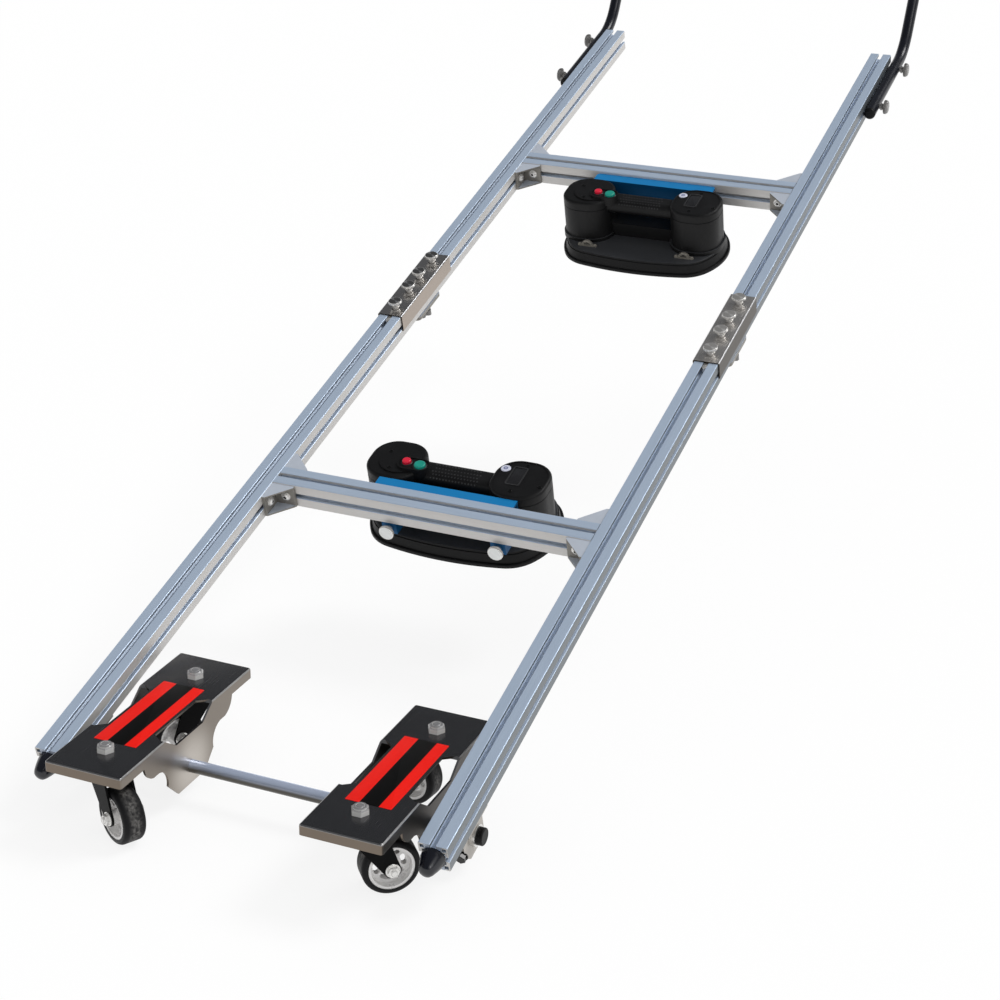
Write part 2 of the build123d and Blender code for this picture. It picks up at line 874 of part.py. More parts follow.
# Handles: bent tube, grip, end plug and two thumb screws
def handle(hand, side):
    tube_x = side * handle_x
    with BuildPart() as tube:
        with BuildLine(facing_right(tube_x, 0, 0)):
            FilletPolyline(
                (handle_start, handle_z),
                (handle_corner, handle_z),
                (handle_end_y, handle_end_z),
                radius=handle_bend,
            )
        with BuildSketch(facing_rear(tube_x, handle_start, handle_z)):
            Circle(handle_radius)
            Circle(handle_radius - handle_wall, mode=Mode.SUBTRACT)
        sweep()
        with BuildSketch(facing_right(tube_x, 0, handle_z)):
            with Locations(*[(screw_y, 0) for screw_y in handle_screws]):
                Circle(screw_hole)
        extrude(amount=2 * handle_radius, both=True, mode=Mode.SUBTRACT)
    save(tube.part, f"handle_{hand}")

    rise = radians(handle_rise)
    uphill = FRAME.y_dir * cos(rise) + FRAME.z_dir * sin(rise)
    tube_end = frame_point(tube_x, handle_end_y, handle_end_z)
    tip = Plane(origin=tube_end, x_dir=FRAME.x_dir, z_dir=uphill)
    with BuildPart() as grip:
        stack(tip, [(grip_radius, -grip_length, grip_cap)])
        fillet(grip.edges().filter_by(GeomType.CIRCLE), grip_round)
        with BuildSketch(tip):
            Circle(handle_radius + snug)
        extrude(amount=-2 * grip_length, mode=Mode.SUBTRACT)
    save(grip.part, f"handle_grip_{hand}")

    with BuildPart() as plug:
        mouth = facing_front(tube_x, handle_start, handle_z)
        stack(mouth, [(handle_radius, 0, plug_length)])
        fillet(plug.edges().group_by(ALONG)[0], plug_round)
        stack(mouth, [(handle_radius - handle_wall - snug, -plug_depth, 0)])
    save(plug.part, f"handle_plug_{hand}")

    across = 2 * (handle_radius + slide_gap)
    with BuildPart() as screws:
        for screw_y in handle_screws:
            if side > 0:
                spot = facing_right(side * outer_x, screw_y, handle_z)
            else:
                spot = facing_left(side * outer_x, screw_y, handle_z)
            slot_screw(spot, foot_top, 90, across)
            screw_grip(spot, across, handle_head_radius, handle_head, round_edge_share)
    save(screws.part, f"handle_screws_{hand}")


handle("left", -1)
handle("right", 1)


# Vacuum lifters, each hung from the side of its cross bar
def lifter(tag, bar_y, toward):
    middle = bar_y - toward * lifter_bar_gap

    def level(x, y, z):
        return facing_up(lifter_x + x, middle + y, z - pad_drop)

    with BuildPart() as pad:
        with BuildSketch(level(0, 0, 0)):
            draw_oval(0)
        extrude(amount=seal_height)
        fillet(pad.edges().group_by(UPWARD)[-1], seal_round)
        with BuildSketch(level(0, 0, seal_height / 2)):
            draw_oval(seal_step)
        with BuildSketch(level(0, 0, pad_height)):
            draw_oval(pad_top_inset)
        loft()
        with BuildSketch(level(0, 0, 0)):
            draw_oval(pad_lip)
        extrude(amount=pad_recess, mode=Mode.SUBTRACT)
    save(pad.part, f"{tag}_lifter_pad")

    # Housing: two turrets on a plinth, joined by the grip bar and the centre block
    plinth_top = pad_height + plinth_height
    cap_top = turret_top + cap_rise
    panel_top = turret_top + panel_rise
    button_floor = panel_top - panel_recess
    turret_depth = 2 * turret_half_depth
    turrets = (
        (left_turret_x, left_turret_length, turret_top),
        (right_turret_x, right_turret_length, cap_top),
    )
    buttons = (
        ("red", red_button_x, red_button_y, red_button_radius),
        ("green", green_button_x, green_button_y, green_button_radius),
    )
    with BuildPart() as housing:
        with BuildSketch(level(0, 0, pad_height)):
            draw_oval(pad_top_inset + plinth_inset)
        extrude(amount=plinth_height)
        fillet(housing.edges().group_by(UPWARD)[-1], plinth_round)
        for turret_x, turret_length, top in turrets:
            with BuildSketch(level(turret_x, 0, pad_height)):
                RectangleRounded(turret_length, turret_depth, turret_corner)
            extrude(amount=top - pad_height)
            fillet(housing.edges().group_by(UPWARD)[-1], turret_round)
            with BuildSketch(level(turret_x, 0, top - seam_drop)):
                RectangleRounded(turret_length + seam_depth, turret_depth + seam_depth, turret_corner)
                RectangleRounded(
                    turret_length - 2 * seam_depth,
                    turret_depth - 2 * seam_depth,
                    turret_corner - seam_depth,
                    mode=Mode.SUBTRACT,
                )
            extrude(amount=-seam_width, mode=Mode.SUBTRACT)
            with BuildSketch(level(turret_x, 0, pad_height)):
                foot_corner = turret_corner + turret_foot
                foot_depth = turret_depth + 2 * turret_foot
                RectangleRounded(turret_length + 2 * turret_foot, foot_depth, foot_corner)
            extrude(amount=plinth_height + turret_foot_height)
        with BuildSketch(facing_right(lifter_x + left_turret_x, middle, -pad_drop)):
            with Locations((core_middle, core_top)):
                Rectangle(
                    2 * core_half_depth,
                    core_top - pad_height,
                    align=(Align.CENTER, Align.MAX),
                )
            with Locations((bar_middle, (bar_bottom + bar_top) / 2)):
                RectangleRounded(bar_depth, bar_top - bar_bottom, bar_round)
        extrude(amount=right_turret_x - left_turret_x)
        stack(level(left_cap_x, left_cap_y, 0), [(left_cap_radius, turret_top - turret_round, cap_top)])
        with BuildSketch(level(panel_x, panel_y, bar_top - panel_root)):
            SlotOverall(panel_length, panel_width)
        extrude(amount=panel_top - bar_top + panel_root)
        with BuildSketch(level(panel_x, panel_y, panel_top)):
            SlotOverall(panel_length - 2 * panel_rim, panel_width - 2 * panel_rim)
        extrude(amount=-panel_recess, mode=Mode.SUBTRACT)
        for colour, button_x, button_y, radius in buttons:
            with BuildSketch(level(button_x, button_y, button_floor)):
                Circle(radius + button_gap)
            extrude(amount=-button_well, mode=Mode.SUBTRACT)
        with BuildSketch(level(right_turret_x, 0, cap_top)):
            RectangleRounded(
                right_turret_length - 2 * cap_rim,
                turret_depth - 2 * cap_rim,
                turret_corner - cap_rim,
            )
        extrude(amount=-cap_recess, mode=Mode.SUBTRACT)
        with BuildSketch(level(0, 0, cap_top - cap_recess)):
            with Locations((display_x, display_y)):
                RectangleRounded(display_width, display_length, display_corner)
            with Locations((dial_x, dial_y)):
                Circle(dial_radius)
        extrude(amount=-window_depth, mode=Mode.SUBTRACT)
    save(housing.part, f"{tag}_lifter_housing")

    for colour, button_x, button_y, radius in buttons:
        with BuildPart() as button:
            stack(level(button_x, button_y, button_floor), [(radius, -button_sink, button_rise)])
            fillet(button.edges().group_by(UPWARD)[-1], button_dome)
        save(button.part, f"{tag}_{colour}_button")

    with BuildPart() as eyes:
        for side in (-1, 1):
            front = facing_front(lifter_x + side * eye_x, middle + eye_y, plinth_top - pad_drop)
            with BuildSketch(front):
                Circle(eye_outer)
                Circle(eye_inner, mode=Mode.SUBTRACT)
                cut = 2 * eye_outer
                Rectangle(cut, cut, align=(Align.CENTER, Align.MAX), mode=Mode.SUBTRACT)
            extrude(amount=eye_thick / 2, both=True)
            with BuildSketch(level(side * eye_x, eye_y, plinth_top)):
                RectangleRounded(eye_foot_length, eye_foot_width, eye_foot_corner)
            extrude(amount=eye_foot_height)
    save(eyes.part, f"{tag}_lifter_eyes")

    # Bracket with a top lip that rests against the bar
    near = middle + toward * turret_half_depth
    far = middle + toward * lifter_reach
    face_out = near + toward * lip_sheet
    section = (
        (near, plate_bottom),
        (near, lip_top),
        (far, lip_top),
        (far, lip_top - lip_sheet),
        (face_out, lip_top - lip_sheet),
        (face_out, plate_bottom),
    )
    clamp_spots = (lifter_x + clamp_left, lifter_x + clamp_right)
    with BuildPart() as bracket:
        with BuildSketch(facing_right(lifter_x, 0, 0)):
            Polygon(*section, align=None)
        extrude(amount=lip_length / 2, both=True)
        with BuildSketch(facing_front(0, middle, clamp_axis)):
            with Locations(*[(x, 0) for x in clamp_spots]):
                Circle(screw_shaft + snug)
        extrude(amount=2 * lifter_bar_gap, both=True, mode=Mode.SUBTRACT)
        lip_tips = bracket.edges().filter_by(UPWARD).sort_by(ALONG)
        fillet(lip_tips[-2:] if toward > 0 else lip_tips[:2], lip_corner)
    save(bracket.part, f"{tag}_lifter_bracket")

    # Clamp blocks with T-feet in the bar's lower slot
    block_far = bar_y + toward * (rail_half - clamp_setback)
    block_length = toward * (block_far - face_out)
    block_y = (block_far + face_out) / 2
    stem = foot_top + slide_gap
    with BuildPart() as clamps:
        for x in clamp_spots:
            with BuildSketch(facing_down(x, block_y, -slide_gap)):
                Rectangle(clamp_width, block_length)
            extrude(amount=clamp_height)
            with BuildSketch(facing_up(x, bar_y, -slide_gap)):
                Rectangle(clamp_width, slot_width - 2 * slide_gap)
            extrude(amount=stem + foot_height)
            with BuildSketch(facing_up(x, bar_y, foot_top)):
                Rectangle(clamp_width, foot_width)
            extrude(amount=foot_height / 2)
            with BuildSketch(facing_front(x, block_y, clamp_axis)):
                Circle(screw_shaft + snug)
            extrude(amount=block_length, both=True, mode=Mode.SUBTRACT)
    save(clamps.part, f"{tag}_lifter_clamps")

    with BuildPart() as screws:
        for x in clamp_spots:
            if toward > 0:
                spot = facing_rear(x, block_far, clamp_axis)
            else:
                spot = facing_front(x, block_far, clamp_axis)
            stack(spot, [(screw_shaft, -abs(block_far - near), 0)])
            screw_grip(spot, 0, clamp_head_radius, clamp_head, flat_edge_share)
    save(screws.part, f"{tag}_lifter_screws")


lifter("front", front_bar_y, -1)
lifter("rear", rear_bar_y, 1)
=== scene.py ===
import json
from math import cos, pi, radians, sin, tau

import bmesh
import bpy
from mathutils import Matrix, Vector


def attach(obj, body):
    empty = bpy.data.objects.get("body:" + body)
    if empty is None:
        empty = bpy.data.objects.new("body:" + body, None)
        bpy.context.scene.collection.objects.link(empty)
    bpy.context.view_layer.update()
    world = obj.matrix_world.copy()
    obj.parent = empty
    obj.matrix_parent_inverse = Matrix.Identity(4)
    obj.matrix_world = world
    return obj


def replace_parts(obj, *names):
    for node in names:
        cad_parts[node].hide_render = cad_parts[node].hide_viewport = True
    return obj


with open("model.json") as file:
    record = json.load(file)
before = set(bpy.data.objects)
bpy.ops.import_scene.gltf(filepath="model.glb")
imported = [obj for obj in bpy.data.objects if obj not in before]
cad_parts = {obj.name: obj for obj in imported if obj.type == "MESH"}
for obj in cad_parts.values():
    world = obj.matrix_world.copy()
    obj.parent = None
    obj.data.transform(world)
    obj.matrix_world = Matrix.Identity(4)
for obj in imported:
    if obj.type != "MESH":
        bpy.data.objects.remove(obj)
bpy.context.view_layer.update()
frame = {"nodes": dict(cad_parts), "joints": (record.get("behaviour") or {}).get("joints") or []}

# Directions and places that every piece is set out from, in metres
joints = {joint["name"]: joint for joint in frame["joints"]}
AXLE = Vector(joints["dolly_tilt"]["pos_m"])
ACROSS = Vector((1, 0, 0))
ALONG = Vector(joints["rear_half_draw"]["axis"])
ABOVE = ACROSS.cross(ALONG)
UP = Vector((0, 0, 1))
TILTED = Matrix((ACROSS, ALONG, ABOVE)).transposed()
RAIL_TURN = TILTED.to_euler()
HANDS = {"left": -1, "right": 1}

# Frame sizes
AXLE_SETBACK = 0.091
AXLE_DROP = 0.031
RAIL_X = 0.278
RAIL_SIZE = 0.040
RAIL_INSIDE = RAIL_X - RAIL_SIZE / 2
RAIL_OUTSIDE = RAIL_X + RAIL_SIZE / 2
CROSS_BARS = {"front": 0.626, "rear": 1.641}
TOWARD = {"front": -1, "rear": 1}
BODY_OF_BAR = {"front": "frame_front", "rear": "frame_rear"}
CORNER_SCREW = 0.022
CORNER_WALL = 0.004
SLOT_FLOOR = 0.0285
HANGER_X = 0.283
HANGER_FRONT = 0.061
PINCH_Z = -0.040
KNOB_Y = 1.190
KNOB_FACE = -0.027
RAILS_AT = AXLE - ALONG * AXLE_SETBACK + ABOVE * AXLE_DROP

# Dolly sizes, from the axle
PLATE_X = 0.183
PLATE_RISE = 0.0683
LABEL_HALF = 0.032
LABEL_FRONT = -0.091
LABEL_REAR = 0.082
LABEL_SHEET = 0.0003
LABEL_CORNER = 0.001
LABEL_EDGE = 0.0001
RED_SHARE = 0.31
BLACK_SHARE = 0.42
WHEEL_RADIUS = 0.038
FORK_HALF = 0.0205

# Thumb screws: radius, straight rim and height of the head, and radius of its flat face
SCREW_STEM = 0.009
JOINER_HEAD = (0.011, 0.0037, 0.0045, 0.0100)
HANDLE_HEAD = (0.0125, 0.0042, 0.0075, 0.0090)
CLAMP_HEAD = (0.0115, 0.0037, 0.0045, 0.0105)
JOINER_TOP = 0.0422
JOINER_Y = 1.175
JOINER_FRONT = 1.075
JOINER_SCREWS = (-0.076, -0.022, 0.022, 0.076)
HANDLE_SCREWS = (2.010, 2.168)
HANDLE_ACROSS = 0.0224
CLAMP_SCREWS = (-0.075, 0.102)
CLAMP_REACH = 0.018
CLAMP_Z = -0.011

# Handle grips, from the tubes' ends
TUBE_END = (0.3092, 2.4521, 0.2321)
GRIP_RADIUS = 0.016
GRIP_BORE = 0.0111
GRIP_LENGTH = 0.135
GRIP_CAP = 0.005
GRIP_RIB = 0.006
GRIP_RIBS_FROM = 0.001
GRIP_GROOVE = 0.0013
GRIP_PLAIN = 0.011
GRIP_ROUND = 0.004
GRIP_EDGE = 0.0012
GRIP_MOUTH = 0.003

# Lifter sizes, from the pad's sealing edge
LIFTER_X = 0.006
LIFTERS = {"front": 0.714, "rear": 1.553}
PAD_DROP = 0.0655
BASE_TOP = 0.0315
BASE_BLEND = 0.008
LEFT_CAP_TOP = 0.105
CAP_FLOOR = 0.104
WINDOW_FLOOR = 0.1028
DISPLAY = (0.091, 0.0055)
DISPLAY_HALF = (0.0103, 0.0208)
DISPLAY_THICK = 0.0014
DISPLAY_CORNER = 0.0028
DISPLAY_EDGE = 0.0004
SURROUND_OVER = 0.0016
SURROUND_WIDTH = 0.0022
SURROUND_LOW = 0.0012
SURROUND_HIGH = 0.0022
SURROUND_CORNER = 0.0042
DIAL = (0.0678, 0.0195)
DIAL_RADIUS = 0.0078
RIGHT_CAP_SCREWS = ((0.134, -0.011), (0.095, -0.030), (0.098, 0.033))
LEFT_CAP_SCREWS = ((-0.106, -0.026), (-0.120, 0.012))
BUTTON_FLOOR = 0.107
BUTTONS = ((-0.083, -0.010, 0.007), (-0.0595, -0.014, 0.009))
BEZEL_GAP = 0.0005
BEZEL_REACH = 0.0020
BEZEL_RISE = 0.0010
BEZEL_EASE = 0.0006
EYE_X = 0.092
EYE_Y = -0.059
EYE_FOOT_TOP = 0.0265
EYE_SCREW = 0.0145
BAR_TOP = 0.100
BAR_ROUND = 0.0125
BAR_FLAT = (-0.0115, 0.0045)


def rail_place(x, y, z):
    """Matrix of a spot on the tilted frame: X across, Y along the rails, Z off their underside."""
    spot = RAILS_AT + ACROSS * x + ALONG * y + ABOVE * z
    return Matrix.Translation(spot) @ TILTED.to_4x4()


def lifter_place(tag, x, y, z):
    return rail_place(LIFTER_X + x, LIFTERS[tag] + y, z - PAD_DROP)


def dolly_place(x, y, z):
    return Matrix.Translation(AXLE + Vector((x, y, z)))


def aimed(place, direction):
    """A place with its Z turned to look in a direction of the whole part."""
    turn = direction.to_track_quat("Z", "Y").to_matrix().to_4x4()
    return Matrix.Translation(place.translation) @ turn


def raised(places, height):
    return [place @ Matrix.Translation((0, 0, height)) for place in places]


# Node graphs
class Socket:
    """A node's output that takes part in Python arithmetic."""

    def __init__(self, graph, link):
        self.graph = graph
        self.link = link

    def __add__(self, other):
        return self.graph.math("ADD", self, other)

    def __radd__(self, other):
        return self.graph.math("ADD", other, self)

    def __sub__(self, other):
        return self.graph.math("SUBTRACT", self, other)

    def __rsub__(self, other):
        return self.graph.math("SUBTRACT", other, self)

    def __mul__(self, other):
        return self.graph.math("MULTIPLY", self, other)


class Graph:
    """A node tree, with one method that adds any node."""

    def __init__(self, tree):
        self.tree = tree

    def node(self, kind, settings=(), inputs=(), output=0):
        made = self.tree.nodes.new(kind)
        for name, value in dict(settings).items():
            setattr(made, name, value)
        for key, value in dict(inputs).items():
            self.feed(made.inputs[key], value)
        return Socket(self, made.outputs[output])

    def feed(self, socket, value):
        if isinstance(value, Socket):
            self.tree.links.new(value.link, socket)
        else:
            socket.default_value = value

    def math(self, operation, first, second=0.0):
        return self.node("ShaderNodeMath", {"operation": operation}, {0: first, 1: second})

    def ramp(self, value, low, high):
        settings = {"interpolation_type": "SMOOTHSTEP"}
        return self.node("ShaderNodeMapRange", settings, {0: value, 1: low, 2: high})

    def mix(self, factor, first, second):
        colours = [(*c, 1.0) if isinstance(c, tuple) else c for c in (first, second)]
        settings = {"data_type": "RGBA"}
        inputs = {0: factor, 6: colours[0], 7: colours[1]}
        return self.node("ShaderNodeMix", settings, inputs, output=2)


class Finish(Graph):
    """A material on one Principled surface."""

    def __init__(self, name, constants):
        self.material = bpy.data.materials.new(name)
        self.material.use_nodes = True
        super().__init__(self.material.node_tree)
        self.surface = self.tree.nodes["Principled BSDF"]
        for socket, value in constants.items():
            self.surface.inputs[socket].default_value = value

    def where(self, at=(0, 0, 0), turn=(0, 0, 0), stretch=(1, 1, 1)):
        """Object coordinates, seen from a place of its own."""
        spot = self.node("ShaderNodeTexCoord", output="Object")
        settings = {"vector_type": "TEXTURE"}
        moved = self.node("ShaderNodeMapping", settings, {0: spot, 1: at, 2: turn})
        return self.node("ShaderNodeVectorMath", {"operation": "MULTIPLY"}, {0: moved, 1: stretch})

    def part(self, vector, axis):
        return self.node("ShaderNodeSeparateXYZ", inputs={0: vector}, output=axis)

    def length(self, vector):
        settings = {"operation": "LENGTH"}
        return self.node("ShaderNodeVectorMath", settings, {0: vector}, output="Value")

    def dot(self, vector, direction):
        settings = {"operation": "DOT_PRODUCT"}
        return self.node("ShaderNodeVectorMath", settings, {0: vector, 1: direction}, output="Value")

    def noise(self, vector, scale, detail=3.0):
        inputs = {"Vector": vector, "Scale": scale, "Detail": detail}
        return self.node("ShaderNodeTexNoise", inputs=inputs)

    def facing(self, direction):
        """How far the surface looks in a direction of the part's own frame."""
        return self.dot(self.node("ShaderNodeTexCoord", output="Normal"), direction)

    def outward(self):
        """1 on faces that look out to the part's left and right, 0 on those that look in."""
        return self.ramp(self.facing(ACROSS) * self.part(self.where(), "X"), 0.06, 0.18)

    def bump(self, height, depth):
        return self.node("ShaderNodeBump", inputs={"Height": height, "Distance": depth})

    def wear(self, colour=None, rough=None, normal=None):
        for socket, value in (("Base Color", colour), ("Roughness", rough), ("Normal", normal)):
            if value is not None:
                self.feed(self.surface.inputs[socket], value)
        return self.material


# Finishes
def anodised_aluminium(name, stretch):
    """Satin extrusion with faint die lines along its length, coloured with painted light and shade by
    facing: pale slot floors, dimmer in the left rails.
    """
    finish = Finish(name, {"Metallic": 0.4})
    drawn = finish.noise(finish.where(turn=RAIL_TURN, stretch=stretch), 1.0)
    cloud = finish.noise(finish.where(), 9.0, 4.0)
    # Painted reflection: faces that look up take a bluish sky tone
    silver = finish.mix(drawn * 0.6 + cloud * 0.4, (0.48, 0.585, 0.74), (0.59, 0.705, 0.86))
    height = finish.dot(finish.where(at=RAILS_AT), ABOVE)
    # Painted light in the slots: pale floors in the right rails, dimmer ones in the left rails
    in_slot = 1 - finish.ramp(height, SLOT_FLOOR + 0.001, RAIL_SIZE - 0.001)
    across = finish.part(finish.where(), "X")
    on_left_rail = finish.ramp(across * -1, RAIL_INSIDE, RAIL_INSIDE + 0.01)
    slot = finish.mix(on_left_rail, (0.66, 0.78, 0.96), (0.40, 0.475, 0.59))
    top = finish.mix(in_slot, silver, slot)
    # Painted reflections on upright faces: beige on the rails' sides, a painted shade of blue-grey on
    # the slot walls, and a painted dark reflection on the outward faces
    side = 1 - finish.ramp(finish.facing(ABOVE), 0.2, 0.8)
    off_middle = finish.math("ABSOLUTE", finish.math("ABSOLUTE", across) - RAIL_X)
    skin = finish.ramp(off_middle, 0.011, 0.014)
    pale = finish.mix(drawn, (0.565, 0.525, 0.475), (0.665, 0.63, 0.58))
    inner = finish.mix(skin, (0.36, 0.40, 0.47), pale)
    outer = finish.mix(drawn, (0.075, 0.075, 0.062), (0.100, 0.102, 0.090))
    painted_upright_tones = finish.mix(finish.outward(), inner, outer)
    rough = 0.32 + drawn * 0.08 + cloud * 0.06
    return finish.wear(finish.mix(side * 0.85, top, painted_upright_tones), rough, finish.bump(drawn, 0.00005))


def stainless_sheet(name, up, middle, top, bend, side, ends, away, glow=0.0, shine=1.0):
    """Polished folded sheet with light and shade painted by facing: tones of its flat top, bends (a
    painted highlight), inner sides, ends and outer sides (painted shade).

    Painted shade makes it dark inside the fold, whose middle line is given. Painted light makes the
    inner sides brighter by the share glow in line with the axle.
    """
    finish = Finish(name, {"Metallic": shine})
    grain = finish.noise(finish.where(stretch=(700, 16, 700)), 1.0)
    cloud = finish.noise(finish.where(), 14.0)
    lean = finish.facing(up)
    shade = 0.86 + grain * 0.10 + cloud * 0.18
    # Painted light and shade by facing: dark tops, bright bends, dark ends and outer sides
    endways = finish.ramp(finish.math("ABSOLUTE", finish.facing(ALONG)), 0.5, 0.9)
    off_axle = finish.length(finish.where(at=AXLE, stretch=(0, 1, 1)))
    lit_side = finish.mix((1 - finish.ramp(off_axle, 0.012, 0.07)) * glow, side, (0.85, 0.80, 0.74))
    upright = finish.mix(endways, finish.mix(finish.outward(), lit_side, away), ends)
    across = finish.part(finish.where(), "X")
    off_middle = finish.math("ABSOLUTE", across) - middle
    # Painted shade inside the fold
    outside = finish.ramp(finish.facing(ACROSS) * across * off_middle, -0.003, -0.0005)
    walls = finish.mix(outside, (0.022, 0.020, 0.018), upright)
    rounded = finish.mix(finish.ramp(lean, 0.12, 0.5), walls, bend)
    flat = finish.ramp(lean, 0.86, 0.985)
    colour = finish.mix(flat, rounded, top)
    grey = finish.node("ShaderNodeCombineColor", inputs={0: shade, 1: shade, 2: shade})
    settings = {"data_type": "RGBA", "blend_type": "MULTIPLY"}
    toned = finish.node("ShaderNodeMix", settings, {0: 1.0, 6: colour, 7: grey}, output=2)
    rough = 0.27 - flat * 0.10 + grain * 0.08 + cloud * 0.08
    return finish.wear(toned, rough, finish.bump(grain, 0.00003))


def turned_steel(name, dark, light, shine):
    """Lathe-turned or plated steel."""
    finish = Finish(name, {"Metallic": shine})
    grain = finish.noise(finish.where(), 420.0)
    return finish.wear(finish.mix(grain, dark, light), 0.19 + grain * 0.12, finish.bump(grain, 0.00004))


def plated_nut(name, flank, crown):
    """Bright plating, pale on a nut's flanks, with a painted dark reflection on its crown."""
    finish = Finish(name, {"Metallic": 0.25})
    grain = finish.noise(finish.where(), 300.0)
    # Painted reflection: darker where the nut looks up
    tone = finish.mix(finish.ramp(finish.facing(UP), 0.25, 0.85), flank, crown)
    colour = finish.mix(grain * 0.25, tone, (0.40, 0.39, 0.37))
    return finish.wear(colour, 0.14 + grain * 0.10, finish.bump(grain, 0.00003))


def turned_face(name, dark, light, shine):
    """Faced end of a screw: fine rings about its own middle, with a bright wedge each way that is a
    painted highlight.
    """
    finish = Finish(name, {"Metallic": shine})
    spot = finish.node("ShaderNodeAttribute", {"attribute_name": "spot"}, output="Vector")
    out = finish.length(spot)
    angle = finish.math("ARCTAN2", finish.part(spot, "Y"), finish.part(spot, "X"))
    # Painted highlight: a bright wedge each way round the face
    wedge = finish.ramp(finish.math("COSINE", angle * 2 + 1.1), 0.55, 1.0)
    ring = finish.math("SINE", out * 9000.0)
    return finish.wear(finish.mix(wedge, dark, light), 0.22 + ring * 0.05, finish.bump(ring, 0.00002))


def polished_tube():
    finish = Finish("polished_tube", {"Metallic": 0.5})
    grain = finish.noise(finish.where(stretch=(14, 600, 600)), 1.0)
    # Painted light and shade: pale and bluish where the tube looks up, dark underneath
    lean = finish.facing(UP)
    under = finish.mix(grain, (0.065, 0.060, 0.052), (0.10, 0.092, 0.080))
    over = finish.mix(grain, (0.54, 0.62, 0.80), (0.66, 0.74, 0.92))
    colour = finish.mix(finish.ramp(lean, 0.0, 0.85), under, over)
    return finish.wear(colour, 0.20 + grain * 0.08, finish.bump(grain, 0.00004))


def die_casting(name, top, side):
    """Raw casting with a fine sandy skin, with painted light making it paler where it looks up."""
    finish = Finish(name, {"Metallic": 0.2})
    skin = finish.noise(finish.where(), 900.0)
    cloud = finish.noise(finish.where(), 45.0)
    # Painted light on the faces that look up, painted shade on the others
    tone = finish.mix(finish.ramp(finish.facing(ABOVE), 0.3, 0.8), side, top)
    dark = finish.mix(0.3, tone, (0.26, 0.25, 0.235))
    colour = finish.mix(skin * 0.4 + cloud * 0.6, dark, tone)
    return finish.wear(colour, 0.34 + skin * 0.16, finish.bump(skin, 0.0001))


def black_moulding(name, shade, specular, rough, grain_scale, depth, tint=(1.0, 1.0, 1.06), base=None):
    """Moulded rubber, plastic or enamel with fine grain and a little dust.

    A base is a painted light, a sky reflection, on a lifter's low faces that look up.
    """
    finish = Finish(name, {"Specular IOR Level": specular})
    grain = finish.noise(finish.where(), grain_scale)
    dust = finish.ramp(finish.noise(finish.where(), 30.0, 5.0), 0.45, 0.8)
    dark = tuple(shade * 0.7 * part for part in tint)
    pale = tuple(shade * 1.6 * part for part in tint)
    colour = finish.mix(grain * 0.35 + dust * 0.5, dark, pale)
    # Painted light: a lighter tone on the low faces that look up
    if base is not None:
        height = finish.dot(finish.where(at=RAILS_AT), ABOVE)
        level = BASE_TOP - PAD_DROP
        low = 1 - finish.ramp(height, level, level + BASE_BLEND)
        upward = finish.ramp(finish.facing(ABOVE), 0.5, 0.9)
        colour = finish.mix(low * upward, colour, base)
    return finish.wear(colour, rough + grain * 0.1 + dust * 0.06, finish.bump(grain, depth))


def tyre_rubber(name, centre, axis):
    """Solid tyre, scuffed pale along the middle of its tread."""
    finish = Finish(name, {"Specular IOR Level": 0.14})
    spot = finish.where(at=centre)
    tread = finish.ramp(finish.length(spot), WHEEL_RADIUS * 0.985, WHEEL_RADIUS)
    aside = finish.math("ABSOLUTE", finish.dot(spot, axis))
    band = 1 - finish.ramp(aside, 0.002, 0.0115)
    patch = 0.3 + finish.ramp(finish.noise(spot, 75.0, 2.0), 0.32, 0.68) * 0.7
    scuff = finish.ramp(finish.noise(spot, 240.0, 9.0), 0.25, 0.8)
    grain = finish.noise(spot, 700.0)
    black = finish.mix(grain, (0.006, 0.006, 0.007), (0.013, 0.013, 0.014))
    colour = finish.mix(tread * band * patch * scuff * 0.85, black, (0.24, 0.232, 0.222))
    return finish.wear(colour, 0.30 + tread * 0.2 + grain * 0.08, finish.bump(grain, 0.0001))


def bright_hub():
    finish = Finish("bright_hub", {"Metallic": 0.2})
    skin = finish.noise(finish.where(), 60.0, 2.0)
    colour = finish.mix(skin, (0.84, 0.83, 0.82), (0.94, 0.93, 0.92))
    return finish.wear(colour, 0.24 + skin * 0.08, finish.bump(skin, 0.00002))


def gloss_plastic(name, dark, light):
    finish = Finish(name, {"Coat Weight": 0.2, "Coat Roughness": 0.12, "Specular IOR Level": 0.3})
    cloud = finish.noise(finish.where(), 130.0)
    skin = finish.noise(finish.where(), 900.0)
    return finish.wear(finish.mix(cloud, dark, light), 0.28 + skin * 0.12, finish.bump(skin, 0.00005))


def blue_anodised():
    """Blue extrusion, with painted shade making the faces that stand upright darker."""
    finish = Finish("blue_anodised", {"Metallic": 0.3, "Specular IOR Level": 0.3})
    drawn = finish.noise(finish.where(turn=RAIL_TURN, stretch=(14, 500, 500)), 1.0)
    cloud = finish.noise(finish.where(), 40.0)
    lit = finish.mix(drawn * 0.5 + cloud * 0.5, (0.006, 0.23, 0.58), (0.014, 0.30, 0.70))
    # Painted shade on the faces that stand upright
    upright = 1 - finish.ramp(finish.facing(ABOVE), 0.2, 0.8)
    colour = finish.mix(upright * 0.85, lit, (0.003, 0.05, 0.14))
    return finish.wear(colour, 0.30 + drawn * 0.12, finish.bump(drawn, 0.00005))


